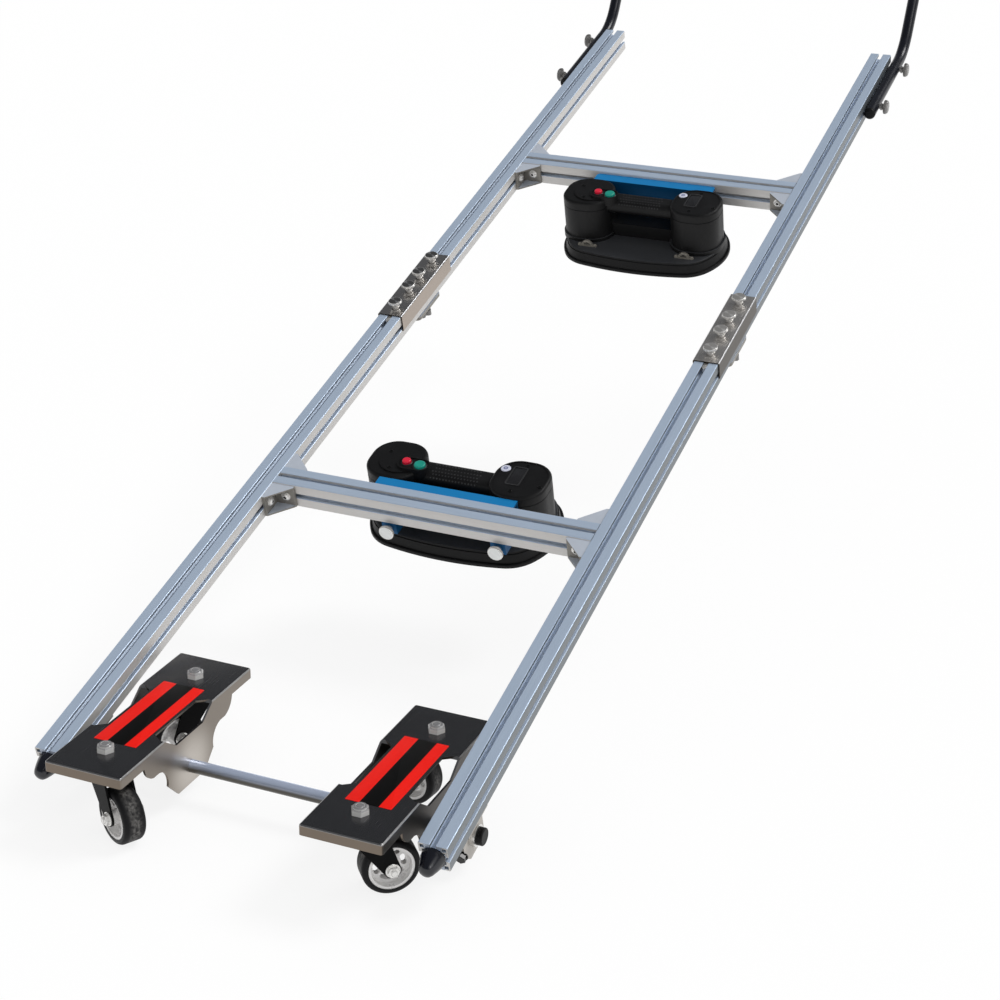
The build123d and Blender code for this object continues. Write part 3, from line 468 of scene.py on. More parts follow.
def banded_label(centre_x):
    """Printed film in three bands along the plate, with nothing written on it."""
    finish = Finish("banded_label", {"Specular IOR Level": 0.07})
    run = finish.part(finish.where(at=(centre_x - LABEL_HALF, 0, 0)), "X")
    first = RED_SHARE * 2 * LABEL_HALF
    second = (RED_SHARE + BLACK_SHARE) * 2 * LABEL_HALF
    soft = 0.0002
    band = finish.ramp(run, first - soft, first + soft) - finish.ramp(run, second - soft, second + soft)
    ink = finish.noise(finish.where(), 260.0)
    red = finish.mix(ink, (0.80, 0.009, 0.005), (0.92, 0.014, 0.007))
    black = finish.mix(ink, (0.003, 0.003, 0.003), (0.006, 0.006, 0.006))
    return finish.wear(finish.mix(band, red, black), 0.38 + ink * 0.1)


def display_glass():
    finish = Finish("display_glass", {"Specular IOR Level": 0.4})
    smear = finish.noise(finish.where(), 60.0, 4.0)
    colour = finish.mix(smear, (0.006, 0.006, 0.007), (0.022, 0.022, 0.024))
    return finish.wear(colour, 0.08 + smear * 0.14)


def pale_dial(name, place):
    """Round indicator: pale face with a grey-blue ring and centre."""
    finish = Finish(name, {"Specular IOR Level": 0.3})
    out = finish.length(finish.where(at=place.translation)) * (1 / DIAL_RADIUS)
    ring = finish.ramp(out, 0.28, 0.36) - finish.ramp(out, 0.5, 0.58)
    speck = finish.noise(finish.where(), 500.0)
    face = finish.mix(speck, (0.56, 0.58, 0.72), (0.68, 0.70, 0.80))
    return finish.wear(finish.mix(ring * 0.8, face, (0.07, 0.09, 0.24)), 0.2 + speck * 0.1)


# Meshes
CREASE = radians(35)


class Shape:
    """A mesh in the making, from turned work, rounded slabs and rims."""

    def __init__(self):
        self.mesh = bmesh.new()

    def skin(self, rings):
        """Faces from each ring of points to the next; a ring of one point closes an end."""
        for low, high in zip(rings, rings[1:]):
            steps = max(len(low), len(high))
            for step in range(steps):
                near = [low[step % len(low)], low[(step + 1) % len(low)]]
                far = [high[(step + 1) % len(high)], high[step % len(high)]]
                self.mesh.faces.new(list(dict.fromkeys(near + far)))
        return self

    def turned(self, profile, place=Matrix(), steps=32, start=0.0):
        """Lathe work from radius and height pairs; a profile that ends as it began makes a ring."""
        rings = []
        for radius, height in profile:
            count = steps if radius else 1
            angles = [start + tau * step / count for step in range(count)]
            points = [Vector((radius * cos(a), radius * sin(a), height)) for a in angles]
            rings.append([self.mesh.verts.new(place @ point) for point in points])
        if profile[0] == profile[-1]:
            rings[-1] = rings[0]
        return self.skin(rings)

    def loop(self, half_x, half_y, corner, height, place, arc=6):
        """Points round a rectangle with rounded corners."""
        points = []
        for quarter in range(4):
            sign_x = 1 if quarter in (0, 3) else -1
            sign_y = 1 if quarter in (0, 1) else -1
            for step in range(arc + 1):
                angle = (quarter + step / arc) * pi / 2
                x = sign_x * (half_x - corner) + corner * cos(angle)
                y = sign_y * (half_y - corner) + corner * sin(angle)
                points.append(self.mesh.verts.new(place @ Vector((x, y, height))))
        return points

    def slab(self, half_x, half_y, low, high, corner, edge, place=Matrix()):
        """Rounded slab with an eased top edge."""
        levels = []
        for inset, height in ((0, low), (0, high - edge), (edge * 0.3, high - edge * 0.3), (edge, high)):
            levels.append(self.loop(half_x - inset, half_y - inset, corner - inset, height, place))
        self.skin(levels)
        self.mesh.faces.new(reversed(levels[0]))
        self.mesh.faces.new(levels[-1])
        return self

    def rim(self, half_x, half_y, width, low, high, corner, place=Matrix()):
        """Flat frame of one width round a rounded rectangle."""
        outer = [self.loop(half_x, half_y, corner, height, place) for height in (low, high)]
        inset = (half_x - width, half_y - width, corner - width)
        inner = [self.loop(*inset, height, place) for height in (high, low)]
        return self.skin(outer + inner + outer[:1])

    def made(self, name, material=None):
        """The mesh as an object of the scene, smooth but for its creases."""
        loose = [vert for vert in self.mesh.verts if not vert.link_faces]
        bmesh.ops.delete(self.mesh, geom=loose, context="VERTS")
        bmesh.ops.recalc_face_normals(self.mesh, faces=self.mesh.faces)
        data = bpy.data.meshes.new(name)
        self.mesh.to_mesh(data)
        self.mesh.free()
        data.shade_smooth()
        data.set_sharp_from_angle(angle=CREASE)
        piece = bpy.data.objects.new(name, data)
        bpy.context.scene.collection.objects.link(piece)
        if material is not None:
            data.materials.append(material)
        return piece


# Geometry node trees for what repeats
def new_tree(name, inputs):
    """Empty tree with a geometry way through and named inputs."""
    tree = bpy.data.node_groups.new(name, "GeometryNodeTree")
    tree.interface.new_socket("Geometry", in_out="INPUT", socket_type="NodeSocketGeometry")
    for label, kind in inputs:
        tree.interface.new_socket(label, in_out="INPUT", socket_type=f"NodeSocket{kind}")
    tree.interface.new_socket("Geometry", in_out="OUTPUT", socket_type="NodeSocketGeometry")
    graph = Graph(tree)
    entry = tree.nodes.new("NodeGroupInput")
    return graph, {socket.name: Socket(graph, socket) for socket in entry.outputs}


def close_tree(graph, geometry, finish):
    """Ends a tree in plain, finished geometry."""
    real = graph.node("GeometryNodeRealizeInstances", inputs={"Geometry": geometry})
    dressed = graph.node("GeometryNodeSetMaterial", inputs={"Geometry": real, "Material": finish})
    ending = graph.tree.nodes.new("NodeGroupOutput")
    graph.feed(ending.inputs["Geometry"], dressed)
    return graph.tree


def seat_turn(graph):
    settings = {"data_type": "QUATERNION"}
    return graph.node("GeometryNodeInputNamedAttribute", settings, {"Name": "turn"})


def seated_copies_tree():
    """Copies of one shape, each on a seat that carries its own turn, with their own spots kept."""
    graph, entry = new_tree("seated_copies", (("Copy", "Object"), ("Finish", "Material")))
    shape = graph.node("GeometryNodeObjectInfo", inputs={"Object": entry["Copy"]}, output="Geometry")
    spot = graph.node("GeometryNodeInputPosition")
    settings = {"data_type": "FLOAT_VECTOR", "domain": "POINT"}
    inputs = {"Geometry": shape, "Name": "spot", "Value": spot}
    marked = graph.node("GeometryNodeStoreNamedAttribute", settings, inputs)
    inputs = {"Points": entry["Geometry"], "Instance": marked, "Rotation": seat_turn(graph)}
    copies = graph.node("GeometryNodeInstanceOnPoints", inputs=inputs)
    return close_tree(graph, copies, entry["Finish"])


def knurled_rings_tree():
    """Rings of upright ridges round screw heads, one ring on each seat."""
    sizes = (("Radius", "Float"), ("Height", "Float"), ("Ridge", "Float"), ("Ridges", "Int"))
    graph, entry = new_tree("knurled_rings", sizes + (("Finish", "Material"),))
    rim = graph.node(
        "GeometryNodeMeshCircle", inputs={"Vertices": entry["Ridges"], "Radius": entry["Radius"]}
    )
    across = {"X": entry["Ridge"], "Y": entry["Ridge"], "Z": entry["Height"]}
    size = graph.node("ShaderNodeCombineXYZ", inputs=across)
    bar = graph.node("GeometryNodeMeshCube", inputs={"Size": size})
    corner_out = graph.node("FunctionNodeEulerToRotation", inputs={0: (0, 0, pi / 4)})
    outward = graph.node("GeometryNodeInputPosition")
    aim = graph.node("FunctionNodeAlignRotationToVector", {"axis": "X"}, {"Vector": outward})
    turn = graph.node("FunctionNodeRotateRotation", {"rotation_space": "LOCAL"}, {0: aim, 1: corner_out})
    ring = graph.node(
        "GeometryNodeInstanceOnPoints", inputs={"Points": rim, "Instance": bar, "Rotation": turn}
    )
    inputs = {"Points": entry["Geometry"], "Instance": ring, "Rotation": seat_turn(graph)}
    rings = graph.node("GeometryNodeInstanceOnPoints", inputs=inputs)
    return close_tree(graph, rings, entry["Finish"])


def grown(name, places, tree, settings, body):
    """Runs a tree on seats and keeps its result as a plain mesh that rides on a body."""
    seats = bpy.data.meshes.new(name)
    seats.from_pydata([place.translation for place in places], [], [])
    turns = seats.attributes.new("turn", "QUATERNION", "POINT")
    for item, place in zip(turns.data, places):
        item.value = place.to_quaternion()
    piece = bpy.data.objects.new(name, seats)
    bpy.context.scene.collection.objects.link(piece)
    growth = piece.modifiers.new("growth", "NODES")
    growth.node_group = tree
    for item in tree.interface.items_tree:
        if item.in_out == "INPUT" and item.name in settings:
            growth[item.identifier] = settings[item.name]
    graph = bpy.context.evaluated_depsgraph_get()
    plain = bpy.data.meshes.new_from_object(piece.evaluated_get(graph))
    piece.modifiers.remove(growth)
    piece.data = plain
    plain.shade_smooth()
    plain.set_sharp_from_angle(angle=CREASE)
    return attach(piece, body)


KNURL = knurled_rings_tree()
COPIES = seated_copies_tree()
KNURL_RIDGE = 0.0009
KNURL_PITCH = 1.6
KNURL_SHARE = 0.85
FACE_SUNK = 0.0004
FACE_RIM = 0.0001
FACE_PROUD = 0.0003
FACE_SHARE = 0.94


def copied(name, shape, seats, finish, body):
    """Copies of one shape on seats, as one piece."""
    pattern = shape.made(f"{name}_pattern")
    piece = grown(name, seats, COPIES, {"Copy": pattern, "Finish": finish}, body)
    bpy.data.objects.remove(pattern)
    return piece


def thumb_screws(name, seats, head, finish, face_finish, body):
    """Knurled rims and faced ends on the heads of screws that stand on the seats."""
    radius, rim, height, face = head
    settings = {
        "Radius": radius,
        "Height": rim * KNURL_SHARE,
        "Ridge": KNURL_RIDGE,
        "Ridges": int(tau * radius / KNURL_RIDGE / KNURL_PITCH),
        "Finish": finish,
    }
    rims = grown(f"{name}_knurls", raised(seats, SCREW_STEM + rim / 2), KNURL, settings, body)
    outline = (
        (0, -FACE_SUNK),
        (face, -FACE_SUNK),
        (face, FACE_RIM),
        (face * FACE_SHARE, FACE_PROUD),
        (0, FACE_PROUD),
    )
    ends = raised(seats, SCREW_STEM + height)
    copied(f"{name}_faces", Shape().turned(outline), ends, face_finish, body)


# Finishes of the whole part
# Rails and cross bars take the aluminium with painted light and shade by facing
RAIL_METAL = anodised_aluminium("rail_aluminium", (900, 8, 900))
BAR_METAL = anodised_aluminium("cross_bar_aluminium", (8, 900, 900))
# Dolly plates: a dark top, a painted highlight on the bends, painted shade on the ends and outer sides,
# and painted light near the axle
PLATE_STEEL = stainless_sheet(
    "plate_stainless",
    UP,
    PLATE_X,
    top=(0.14, 0.14, 0.145),
    bend=(0.40, 0.395, 0.39),
    side=(0.235, 0.205, 0.175),
    ends=(0.19, 0.156, 0.126),
    away=(0.055, 0.048, 0.042),
    glow=0.5,
)
# The two joiners are lit and shaded copies whose shine differs to copy their reflections; beige painted
# reflection on the inner sides, painted shade on the ends and outer sides
JOINER_SHINE = {"left": 1.0, "right": 0.82}
JOINER_STEEL = {
    hand: stainless_sheet(
        f"joiner_stainless_{hand}",
        ABOVE,
        RAIL_X,
        top=(0.57, 0.55, 0.53),
        bend=(0.56, 0.56, 0.57),
        side=(0.43, 0.37, 0.32),
        ends=(0.055, 0.044, 0.032),
        away=(0.055, 0.044, 0.032),
        shine=shine,
    )
    for hand, shine in JOINER_SHINE.items()
}
SCREW_STEEL = turned_steel("screw_steel", (0.70, 0.69, 0.67), (0.84, 0.83, 0.81), 0.75)
BRIGHT_STEEL = turned_steel("bright_steel", (0.82, 0.81, 0.79), (0.94, 0.93, 0.91), 0.45)
DARK_STEEL = turned_steel("dark_steel", (0.030, 0.030, 0.031), (0.065, 0.064, 0.062), 1.0)
# Nut plating: pale flanks and a painted dark reflection on the crowns
NUT_PLATING = plated_nut("nut_plating", (0.96, 0.95, 0.93), (0.22, 0.22, 0.23))
EYE_STEEL = turned_steel("eye_steel", (0.24, 0.225, 0.195), (0.32, 0.30, 0.265), 0.35)
GREY_STEEL = turned_steel("grey_steel", (0.17, 0.165, 0.16), (0.26, 0.255, 0.25), 0.3)
# The left and right joiner screw faces are lit and shaded copies, with different tones and shine
JOINER_FACE = {
    "left": turned_face("joiner_screw_face_left", (0.30, 0.29, 0.28), (0.80, 0.79, 0.77), 1.0),
    "right": turned_face("joiner_screw_face_right", (0.42, 0.41, 0.395), (0.60, 0.59, 0.575), 0.55),
}
GREY_FACE = turned_face("handle_screw_face", (0.19, 0.186, 0.18), (0.29, 0.285, 0.28), 0.3)
PALE_FACE = turned_face("clamp_screw_face", (0.84, 0.86, 0.855), (0.88, 0.90, 0.895), 0.25)
TUBE_STEEL = polished_tube()
# Castings: painted light where they look up, painted shade on the other faces
CAST_GREY = die_casting("cast_grey", (0.60, 0.66, 0.76), (0.25, 0.235, 0.21))
HANGER_GREY = die_casting("hanger_grey", (0.55, 0.54, 0.52), (0.50, 0.47, 0.43))
HUB_METAL = bright_hub()

# Black mouldings: shade, specular level, roughness, grain scale and grain depth, then a tint or a base
# of painted light
NAVY = (0.8, 0.95, 1.7)
# Painted light for the lifters' low faces that look up
BASE_PAINTED_LIGHT = (0.040, 0.042, 0.046)
BUMPER_RUBBER = black_moulding("bumper_rubber", 0.008, 0.60, 0.18, 60.0, 0.00001, NAVY)
CAP_RUBBER = black_moulding("cap_rubber", 0.008, 0.15, 0.40, 300.0, 0.00005)
PAD_RUBBER = black_moulding("pad_rubber", 0.007, 0.18, 0.40, 600.0, 0.0001)
LIFTER_PLASTIC = black_moulding("lifter_plastic", 0.008, 0.22, 0.40, 1400.0, 0.0002, base=BASE_PAINTED_LIGHT)
DOT_PLASTIC = black_moulding("dot_plastic", 0.030, 0.45, 0.35, 900.0, 0.0001)
CASTER_ENAMEL = black_moulding("caster_enamel", 0.006, 0.05, 0.30, 350.0, 0.00005)
HANDLE_ENAMEL = black_moulding("handle_enamel", 0.008, 0.40, 0.22, 40.0, 0.00001, NAVY)
GRIP_RUBBER = black_moulding("grip_rubber", 0.010, 0.20, 0.5, 900.0, 0.0002)

# Colours and glass
RED_PLASTIC = gloss_plastic("red_plastic", (0.66, 0.008, 0.035), (0.80, 0.016, 0.055))
GREEN_PLASTIC = gloss_plastic("green_plastic", (0.004, 0.26, 0.19), (0.008, 0.34, 0.26))
BLUE_METAL = blue_anodised()
GLASS = display_glass()


def dress(material, *names):
    for name in names:
        node = frame["nodes"][name]
        node.data.materials.clear()
        node.data.materials.append(material)


dress(RAIL_METAL, *[f"{end}_rail_{hand}" for end in CROSS_BARS for hand in HANDS])
dress(BAR_METAL, *[f"{end}_cross_bar" for end in CROSS_BARS])
dress(PLATE_STEEL, *[f"dolly_plate_{hand}" for hand in HANDS])
for hand in HANDS:
    dress(JOINER_STEEL[hand], f"joiner_{hand}")
dress(NUT_PLATING, "caster_pivots")
dress(SCREW_STEEL, "axle_collars", *[f"joiner_screws_{hand}" for hand in HANDS])
dress(SCREW_STEEL, *[f"{end}_lifter_screws" for end in LIFTERS])
dress(GREY_STEEL, "joint_knobs", *[f"handle_screws_{hand}" for hand in HANDS])
dress(EYE_STEEL, *[f"{end}_lifter_eyes" for end in LIFTERS])
dress(CAST_GREY, "joint_strips", *[f"{end}_corner_brackets" for end in CROSS_BARS])
dress(HANGER_GREY, *[f"axle_bracket_{hand}" for hand in HANDS])
dress(CAP_RUBBER, "axle_caps", *[f"handle_plug_{hand}" for hand in HANDS])
dress(HANDLE_ENAMEL, *[f"handle_{hand}" for hand in HANDS])
dress(GRIP_RUBBER, *[f"handle_grip_{hand}" for hand in HANDS])
dress(PAD_RUBBER, *[f"{end}_lifter_pad" for end in LIFTERS])
dress(LIFTER_PLASTIC, *[f"{end}_lifter_housing" for end in LIFTERS])
dress(BLUE_METAL, *[f"{end}_lifter_{piece}" for end in LIFTERS for piece in ("bracket", "clamps")])
dress(RED_PLASTIC, *[f"{end}_red_button" for end in LIFTERS])
dress(GREEN_PLASTIC, *[f"{end}_green_button" for end in LIFTERS])

# Casters: scuffed tyres, and washers, nuts and bolt ends on the fork
WHEELS = [f"{end}_{hand}" for end in CROSS_BARS for hand in HANDS]
NUT = ((0, 0.0012), (0.0080, 0.0012), (0.0080, 0.0056), (0.0070, 0.0066), (0, 0.0066))
NUT_WASHER = ((0, 0), (0.0096, 0), (0.0096, 0.0010), (0.0092, 0.0013), (0, 0.0013))
BOLT_END = ((0, 0.006), (0.0045, 0.006), (0.0045, 0.0080), (0.0034, 0.0088), (0, 0.0089))
for wheel in WHEELS:
    dress(CASTER_ENAMEL, f"{wheel}_fork")
    dress(HUB_METAL, f"{wheel}_hub")
    spin = joints[f"{wheel}_wheel_spin"]
    centre = Vector(spin["pos_m"])
    axis = Vector(spin["axis"])
    dress(tyre_rubber(f"{wheel}_tyre_rubber", centre, axis), f"{wheel}_tyre")
    nut = Shape().turned(NUT, steps=6).turned(NUT_WASHER, steps=28).turned(BOLT_END, steps=20)
    seats = [aimed(Matrix.Translation(centre + axis * FORK_HALF * way), axis * way) for way in (-1, 1)]
    copied(f"{wheel}_axle_nuts", nut, seats, BRIGHT_STEEL, f"{wheel}_swivel")

# Lock nuts on the king pins
KING_BORE = 0.0061
LOCK_NUT = (
    (KING_BORE, 0),
    (0.0123, 0),
    (0.0123, 0.0064),
    (0.0108, 0.0080),
    (KING_BORE, 0.0080),
    (KING_BORE, 0),
)
LOCK_COLLAR = (
    (KING_BORE, 0.0070),
    (0.0094, 0.0070),
    (0.0094, 0.0092),
    (0.0084, 0.0102),
    (KING_BORE, 0.0102),
    (KING_BORE, 0.0070),
)
lock_nut = Shape().turned(LOCK_NUT, steps=6).turned(LOCK_COLLAR, steps=32)
king_pins = [Vector(joints[f"{wheel}_swivel_turn"]["pos_m"]) for wheel in WHEELS]
seats = [Matrix.Translation((pin.x, pin.y, AXLE.z + PLATE_RISE)) for pin in king_pins]
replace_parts(copied("lock_nuts", lock_nut, seats, NUT_PLATING, "dolly"), "caster_nuts")

# Axle tube with eased ends
TUBE_RADIUS = 0.009
TUBE_BORE = 0.0065
TUBE_HALF = 0.2933
TUBE_EASE = 0.0006
half_tube = (
    (TUBE_BORE, TUBE_HALF),
    (TUBE_RADIUS - TUBE_EASE, TUBE_HALF),
    (TUBE_RADIUS, TUBE_HALF - TUBE_EASE),
)
other_half = tuple((radius, -height) for radius, height in reversed(half_tube))
across_axle = aimed(dolly_place(0, 0, 0), ACROSS)
tube = Shape().turned(half_tube + other_half + half_tube[:1], across_axle, steps=48)
turning_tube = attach(tube.made("turning_tube", TUBE_STEEL), "dolly")
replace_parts(turning_tube, "axle_tube")

# Blunt rubber cones in the rails' front ends
BUMPER = (
    (0, 0),
    (0.0163, 0),
    (0.0163, 0.0020),
    (0.0151, 0.0080),
    (0.0129, 0.0160),
    (0.0103, 0.0235),
    (0.0082, 0.0272),
    (0.0050, 0.0292),
    (0, 0.0300),
)
bumpers = Shape()
for side in HANDS.values():
    bumpers.turned(BUMPER, aimed(rail_place(side * RAIL_X, 0, RAIL_SIZE / 2), -ALONG), steps=40)
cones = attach(bumpers.made("rail_bumper_cones", BUMPER_RUBBER), "frame_front")
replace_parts(cones, "rail_bumpers")

# Labels across the dolly plates
for hand, side in HANDS.items():
    middle = dolly_place(side * PLATE_X, (LABEL_FRONT + LABEL_REAR) / 2, PLATE_RISE)
    half = (LABEL_REAR - LABEL_FRONT) / 2
    film = Shape().slab(LABEL_HALF, half, 0, LABEL_SHEET, LABEL_CORNER, LABEL_EDGE, middle)
    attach(film.made(f"dolly_label_{hand}", banded_label(side * PLATE_X)), "dolly")

# Thumb screws
for hand, side in HANDS.items():
    seats = [rail_place(side * RAIL_X, JOINER_Y + offset, JOINER_TOP) for offset in JOINER_SCREWS]
    label = f"joiner_screw_{hand}"
    thumb_screws(label, seats, JOINER_HEAD, SCREW_STEEL, JOINER_FACE[hand], "frame_front")
for hand, side in HANDS.items():
    out = side * (RAIL_OUTSIDE + HANDLE_ACROSS)
    seats = [aimed(rail_place(out, y, RAIL_SIZE / 2), ACROSS * side) for y in HANDLE_SCREWS]
    thumb_screws(f"handle_screw_{hand}", seats, HANDLE_HEAD, GREY_STEEL, GREY_FACE, f"handle_{hand}")
for end, bar_y in CROSS_BARS.items():
    block = bar_y + TOWARD[end] * CLAMP_REACH
    spots = [rail_place(LIFTER_X + x, block, CLAMP_Z) for x in CLAMP_SCREWS]
    seats = [aimed(spot, ALONG * TOWARD[end]) for spot in spots]
    thumb_screws(f"{end}_clamp_screw", seats, CLAMP_HEAD, SCREW_STEEL, PALE_FACE, f"lifter_{end}")

# Screw ends in the knobs under the joints
KNOB_END = ((0, 0), (0.0055, 0), (0.0055, 0.0006), (0.0042, 0.0016), (0, 0.0019))
seats = [aimed(rail_place(side * RAIL_X, KNOB_Y, KNOB_FACE), -ABOVE) for side in HANDS.values()]
copied("knob_ends", Shape().turned(KNOB_END, steps=24), seats, DARK_STEEL, "frame_rear")

# Keys in the rails' top slots, reaching out ahead of the joiners
KEY_HALF = 0.0036
KEY_LENGTH = 0.018
KEY_UNDER = 0.004
KEY_SUNK = 0.0014
KEY_CORNER = 0.0034
KEY_EDGE = 0.0008
KEY_HEIGHT = RAIL_SIZE - SLOT_FLOOR - KEY_SUNK
for hand, side in HANDS.items():
    middle = rail_place(side * RAIL_X, JOINER_FRONT - KEY_LENGTH / 2 + KEY_UNDER, SLOT_FLOOR)
    key = Shape().slab(KEY_HALF, KEY_LENGTH / 2, 0, KEY_HEIGHT, KEY_CORNER, KEY_EDGE, middle)
    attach(key.made(f"slot_key_{hand}", SCREW_STEEL), "frame_front")

# Pinch bolts in the axle brackets
PINCH_HEAD = ((0, 0.0012), (0.0070, 0.0012), (0.0070, 0.0078), (0.0060, 0.0086), (0, 0.0086))
PINCH_WASHER = ((0, 0), (0.0078, 0), (0.0078, 0.0012), (0, 0.0012))
bolt = Shape().turned(PINCH_HEAD, steps=6, start=pi / 6).turned(PINCH_WASHER, steps=24)
seats = [aimed(rail_place(side * HANGER_X, HANGER_FRONT, PINCH_Z), -ALONG) for side in HANDS.values()]
copied("pinch_bolts", bolt, seats, DARK_STEEL, "frame_front")

# Screws in the corner brackets
SCREW_HEAD = (
    (0, 0),
    (0.0075, 0),
    (0.0075, 0.0014),
    (0.0060, 0.0014),
    (0.0058, 0.0034),
    (0.0036, 0.0052),
    (0.0026, 0.0052),
    (0.0026, 0.0022),
    (0, 0.0022),
)
# Dark steel plugs in the screw heads' sockets are painted shade in the recesses
SCREW_SOCKET = ((0, 0.0030), (0.0026, 0.0030), (0.0025, 0.0045), (0.0010, 0.0036), (0, 0.0036))
for end, bar_y in CROSS_BARS.items():
    seats = []
    for side in HANDS.values():
        for face in (-1, 1):
            edge = bar_y + face * RAIL_SIZE / 2
            on_bar = rail_place(
                side * (RAIL_INSIDE - CORNER_SCREW), edge + face * CORNER_WALL, RAIL_SIZE / 2
            )
            on_rail = rail_place(
                side * (RAIL_INSIDE - CORNER_WALL), edge + face * CORNER_SCREW, RAIL_SIZE / 2
            )
            seats += [aimed(on_bar, ALONG * face), aimed(on_rail, ACROSS * -side)]
    screw = Shape().turned(SCREW_HEAD, steps=24)
    copied(f"{end}_corner_screws", screw, seats, BRIGHT_STEEL, BODY_OF_BAR[end])
    socket = Shape().turned(SCREW_SOCKET, steps=6)
    copied(f"{end}_screw_sockets", socket, seats, DARK_STEEL, BODY_OF_BAR[end])

# Ribbed rubber grips on the handles
groove = GRIP_RADIUS - GRIP_GROOVE
rib = ((GRIP_RADIUS, 0.95), (GRIP_RADIUS, 0.45), (groove, 0.3), (groove, 0.1))
ribs = []
low = GRIP_RIBS_FROM - GRIP_RIB
while low > GRIP_PLAIN + GRIP_RIBS_FROM - GRIP_LENGTH:
    ribs += [(radius, low + share * GRIP_RIB) for radius, share in rib]
    low -= GRIP_RIB
GRIP_OUTLINE = (
    (0, GRIP_CAP),
    (GRIP_RADIUS - GRIP_ROUND, GRIP_CAP),
    (GRIP_RADIUS - GRIP_EDGE, GRIP_CAP - GRIP_EDGE),
    (GRIP_RADIUS, GRIP_CAP - GRIP_ROUND),
    *ribs,
    (GRIP_RADIUS, GRIP_PLAIN - GRIP_LENGTH),
    (GRIP_RADIUS, GRIP_MOUTH - GRIP_LENGTH),
    (GRIP_RADIUS - GRIP_MOUTH, -GRIP_LENGTH),
    (GRIP_BORE, -GRIP_LENGTH),
    (GRIP_BORE, 0),
    (0, 0),
)
UPHILL = (ALONG + ABOVE).normalized()
for hand, side in HANDS.items():
    x, y, z = TUBE_END
    tip = aimed(rail_place(side * x, y, z), UPHILL)
    grip = Shape().turned(GRIP_OUTLINE, tip, steps=40).made(f"ribbed_grip_{hand}", GRIP_RUBBER)
    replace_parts(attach(grip, f"handle_{hand}"), f"handle_grip_{hand}")

# Lifters: display, indicator, cap screws, button bezels and eye screws
DIAL_OUTLINE = (
    (0, 0),
    (DIAL_RADIUS, 0),
    (DIAL_RADIUS, 0.0016),
    (DIAL_RADIUS * 0.9, 0.0022),
    (0, 0.0022),
)
CAP_SCREW = (
    (0, -0.0002),
    (0.0034, -0.0002),
    (0.0034, 0.0004),
    (0.0028, 0.0007),
    (0.0018, 0.0007),
    (0.0018, 0.0001),
    (0, 0.0001),
)
EYE_HEAD = ((0, 0), (0.0029, 0), (0.0028, 0.0010), (0.0017, 0.0018), (0, 0.0019))
for end in LIFTERS:
    body = f"lifter_{end}"
    spot = lifter_place(end, *DISPLAY, WINDOW_FLOOR)
    window = Shape().slab(*DISPLAY_HALF, 0, DISPLAY_THICK, DISPLAY_CORNER, DISPLAY_EDGE, spot)
    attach(window.made(f"{end}_display_window", GLASS), body)
    outside = [half + SURROUND_OVER for half in DISPLAY_HALF]
    section = (SURROUND_WIDTH, SURROUND_LOW, SURROUND_HIGH)
    surround = Shape().rim(*outside, *section, SURROUND_CORNER, spot)
    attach(surround.made(f"{end}_display_frame", DOT_PLASTIC), body)
    spot = lifter_place(end, *DIAL, WINDOW_FLOOR)
    dial = Shape().turned(DIAL_OUTLINE, spot)
    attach(dial.made(f"{end}_dial", pale_dial(f"{end}_dial_face", spot)), body)
    seats = [lifter_place(end, x, y, CAP_FLOOR) for x, y in RIGHT_CAP_SCREWS]
    seats += [lifter_place(end, x, y, LEFT_CAP_TOP) for x, y in LEFT_CAP_SCREWS]
    screw = Shape().turned(CAP_SCREW, steps=20)
    copied(f"{end}_cap_screws", screw, seats, DARK_STEEL, body)
    bezels = Shape()
    for x, y, radius in BUTTONS:
        inner = radius + BEZEL_GAP
        outer = radius + BEZEL_REACH
        ring = (
            (inner, 0),
            (outer, 0),
            (outer, BEZEL_RISE / 2),
            (outer - BEZEL_EASE, BEZEL_RISE),
            (inner, BEZEL_RISE),
            (inner, 0),
        )
        bezels.turned(ring, lifter_place(end, x, y, BUTTON_FLOOR))
    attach(bezels.made(f"{end}_button_bezels", DOT_PLASTIC), body)
    spots = [side * EYE_X + way * EYE_SCREW for side in HANDS.values() for way in (-1, 1)]
    seats = [lifter_place(end, x, EYE_Y, EYE_FOOT_TOP) for x in spots]
    screw = Shape().turned(EYE_HEAD, steps=18)
    copied(f"{end}_eye_screws", screw, seats, EYE_STEEL, body)

# Raised dots along the lifters' grip bars
DOT = ((0, 0), (0.0014, 0), (0.0012, 0.0005), (0, 0.0008))
DOT_STEP = 0.0052
DOT_FROM = -0.040
DOT_TO = 0.040
DOT_LEANS = (27, 54)
front, back = BAR_FLAT
flat_rows = [front + (back - front) * share for share in (1.0, 0.5, 0.0)]
across_bar = [(y, 0) for y in flat_rows] + [(front, angle) for angle in DOT_LEANS]
for end in LIFTERS:
    seats = []
    for row, (y, angle) in enumerate(across_bar):
        lean = radians(angle)
        depth = y - BAR_ROUND * sin(lean)
        height = BAR_TOP - BAR_ROUND * (1 - cos(lean))
        outward = ABOVE * cos(lean) - ALONG * sin(lean)
        for step in range(int((DOT_TO - DOT_FROM) / DOT_STEP)):
            x = DOT_FROM + DOT_STEP * (step + 0.5 * (row % 2))
            seats.append(aimed(lifter_place(end, x, depth, height), outward))
    dot = Shape().turned(DOT, steps=10)
    copied(f"{end}_grip_dots", dot, seats, DOT_PLASTIC, f"lifter_{end}")


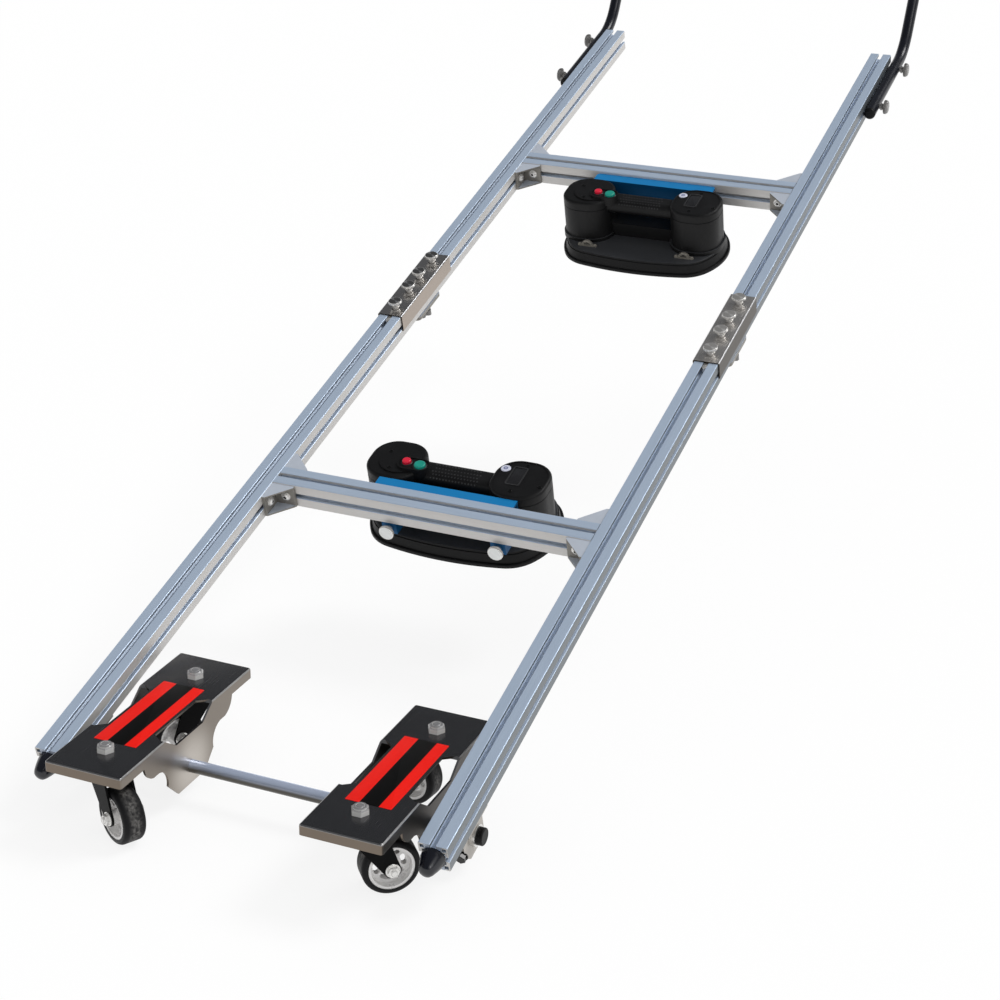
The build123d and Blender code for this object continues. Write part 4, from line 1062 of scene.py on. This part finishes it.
# Floor, soft light and camera
FLOOR_HALF = 30.0
FLOOR_PAPER = (0.88, 0.88, 0.88, 1)
FLOOR_GLOW = 1.03
GLOW_SHARE = 0.82
CARD_WAY = Vector((0.80, -0.40, 0.62)).normalized()
SENSOR_MM = 36.0
LENS_MM = 74.39
VIEW_END = 200.0
CAMERA_AT = (1.17605, -3.08459, 1.45871)
CAMERA_TURN = (67.0474, -0.8801, 23.0392)


def shown_rays(graph):
    """1 for the rays that show the background, 0 for those that light the part."""
    path = graph.tree.nodes.new("ShaderNodeLightPath")
    kinds = ("Camera", "Glossy", "Transmission")
    seen, glossy, through = [Socket(graph, path.outputs[f"Is {kind} Ray"]) for kind in kinds]
    return graph.math("MINIMUM", seen + glossy + through, 1.0)


def pale_floor():
    data = bpy.data.meshes.new("floor")
    corners = [(x * FLOOR_HALF, y * FLOOR_HALF, 0) for x, y in ((-1, -1), (1, -1), (1, 1), (-1, 1))]
    data.from_pydata(corners, [], [(0, 1, 2, 3)])
    floor = bpy.data.objects.new("floor", data)
    bpy.context.scene.collection.objects.link(floor)
    material = bpy.data.materials.new("pale_floor")
    material.use_nodes = True
    graph = Graph(material.node_tree)
    graph.tree.nodes.clear()
    paper = graph.node("ShaderNodeBsdfDiffuse", inputs={"Color": FLOOR_PAPER})
    glow = graph.node("ShaderNodeEmission", inputs={"Color": (1, 1, 1, 1), "Strength": FLOOR_GLOW})
    inputs = {0: shown_rays(graph) * GLOW_SHARE, 1: paper, 2: glow}
    blend = graph.node("ShaderNodeMixShader", inputs=inputs)
    ending = graph.tree.nodes.new("ShaderNodeOutputMaterial")
    graph.feed(ending.inputs["Surface"], blend)
    data.materials.append(material)


def soft_world(level):
    """White behind and round the horizon, dark overhead but for one white card, and even light."""
    world = bpy.data.worlds.new("studio")
    bpy.context.scene.world = world
    world.use_nodes = True
    graph = Graph(world.node_tree)
    graph.tree.nodes.clear()
    direction = graph.node("ShaderNodeTexCoord", output="Generated")
    height = graph.node("ShaderNodeSeparateXYZ", inputs={0: direction}, output="Z")
    settings = {"operation": "DOT_PRODUCT"}
    near = graph.node("ShaderNodeVectorMath", settings, {0: direction, 1: CARD_WAY}, output="Value")
    seen = graph.node("ShaderNodeLightPath", output="Is Camera Ray")
    open_sky = graph.math("MAXIMUM", graph.ramp(near, 0.90, 0.96), seen)
    dark = graph.ramp(height, 0.12, 0.36) * (1 - open_sky)
    sky = graph.mix(dark, (1.0, 1.0, 1.0), (0.13, 0.135, 0.145))
    light = graph.node("ShaderNodeBackground", inputs={"Color": (1, 1, 1, 1), "Strength": level})
    backdrop = graph.node("ShaderNodeBackground", inputs={"Color": sky, "Strength": 1.0})
    blend = graph.node("ShaderNodeMixShader", inputs={0: shown_rays(graph), 1: light, 2: backdrop})
    ending = graph.tree.nodes.new("ShaderNodeOutputWorld")
    graph.feed(ending.inputs["Surface"], blend)


def sun(name, strength, spread, aim):
    lamp = bpy.data.lights.new(name, "SUN")
    lamp.energy = strength
    lamp.angle = radians(spread)
    holder = bpy.data.objects.new(name, lamp)
    holder.rotation_mode = "QUATERNION"
    holder.rotation_quaternion = Vector(aim).to_track_quat("-Z", "Y")
    bpy.context.scene.collection.objects.link(holder)


def photograph_camera():
    data = bpy.data.cameras.new("camera")
    data.sensor_width = SENSOR_MM
    data.lens = LENS_MM
    data.clip_end = VIEW_END
    camera = bpy.data.objects.new("camera", data)
    camera.location = CAMERA_AT
    camera.rotation_euler = [radians(angle) for angle in CAMERA_TURN]
    bpy.context.scene.collection.objects.link(camera)
    bpy.context.scene.camera = camera


pale_floor()
soft_world(level=0.62)
sun("key_sun", strength=1.3, spread=24, aim=(-0.55, -0.45, -0.85))
sun("fill_sun", strength=0.15, spread=10, aim=(-0.80, 0.40, -0.62))
photograph_camera()
bpy.context.scene.view_settings.view_transform = "Standard"
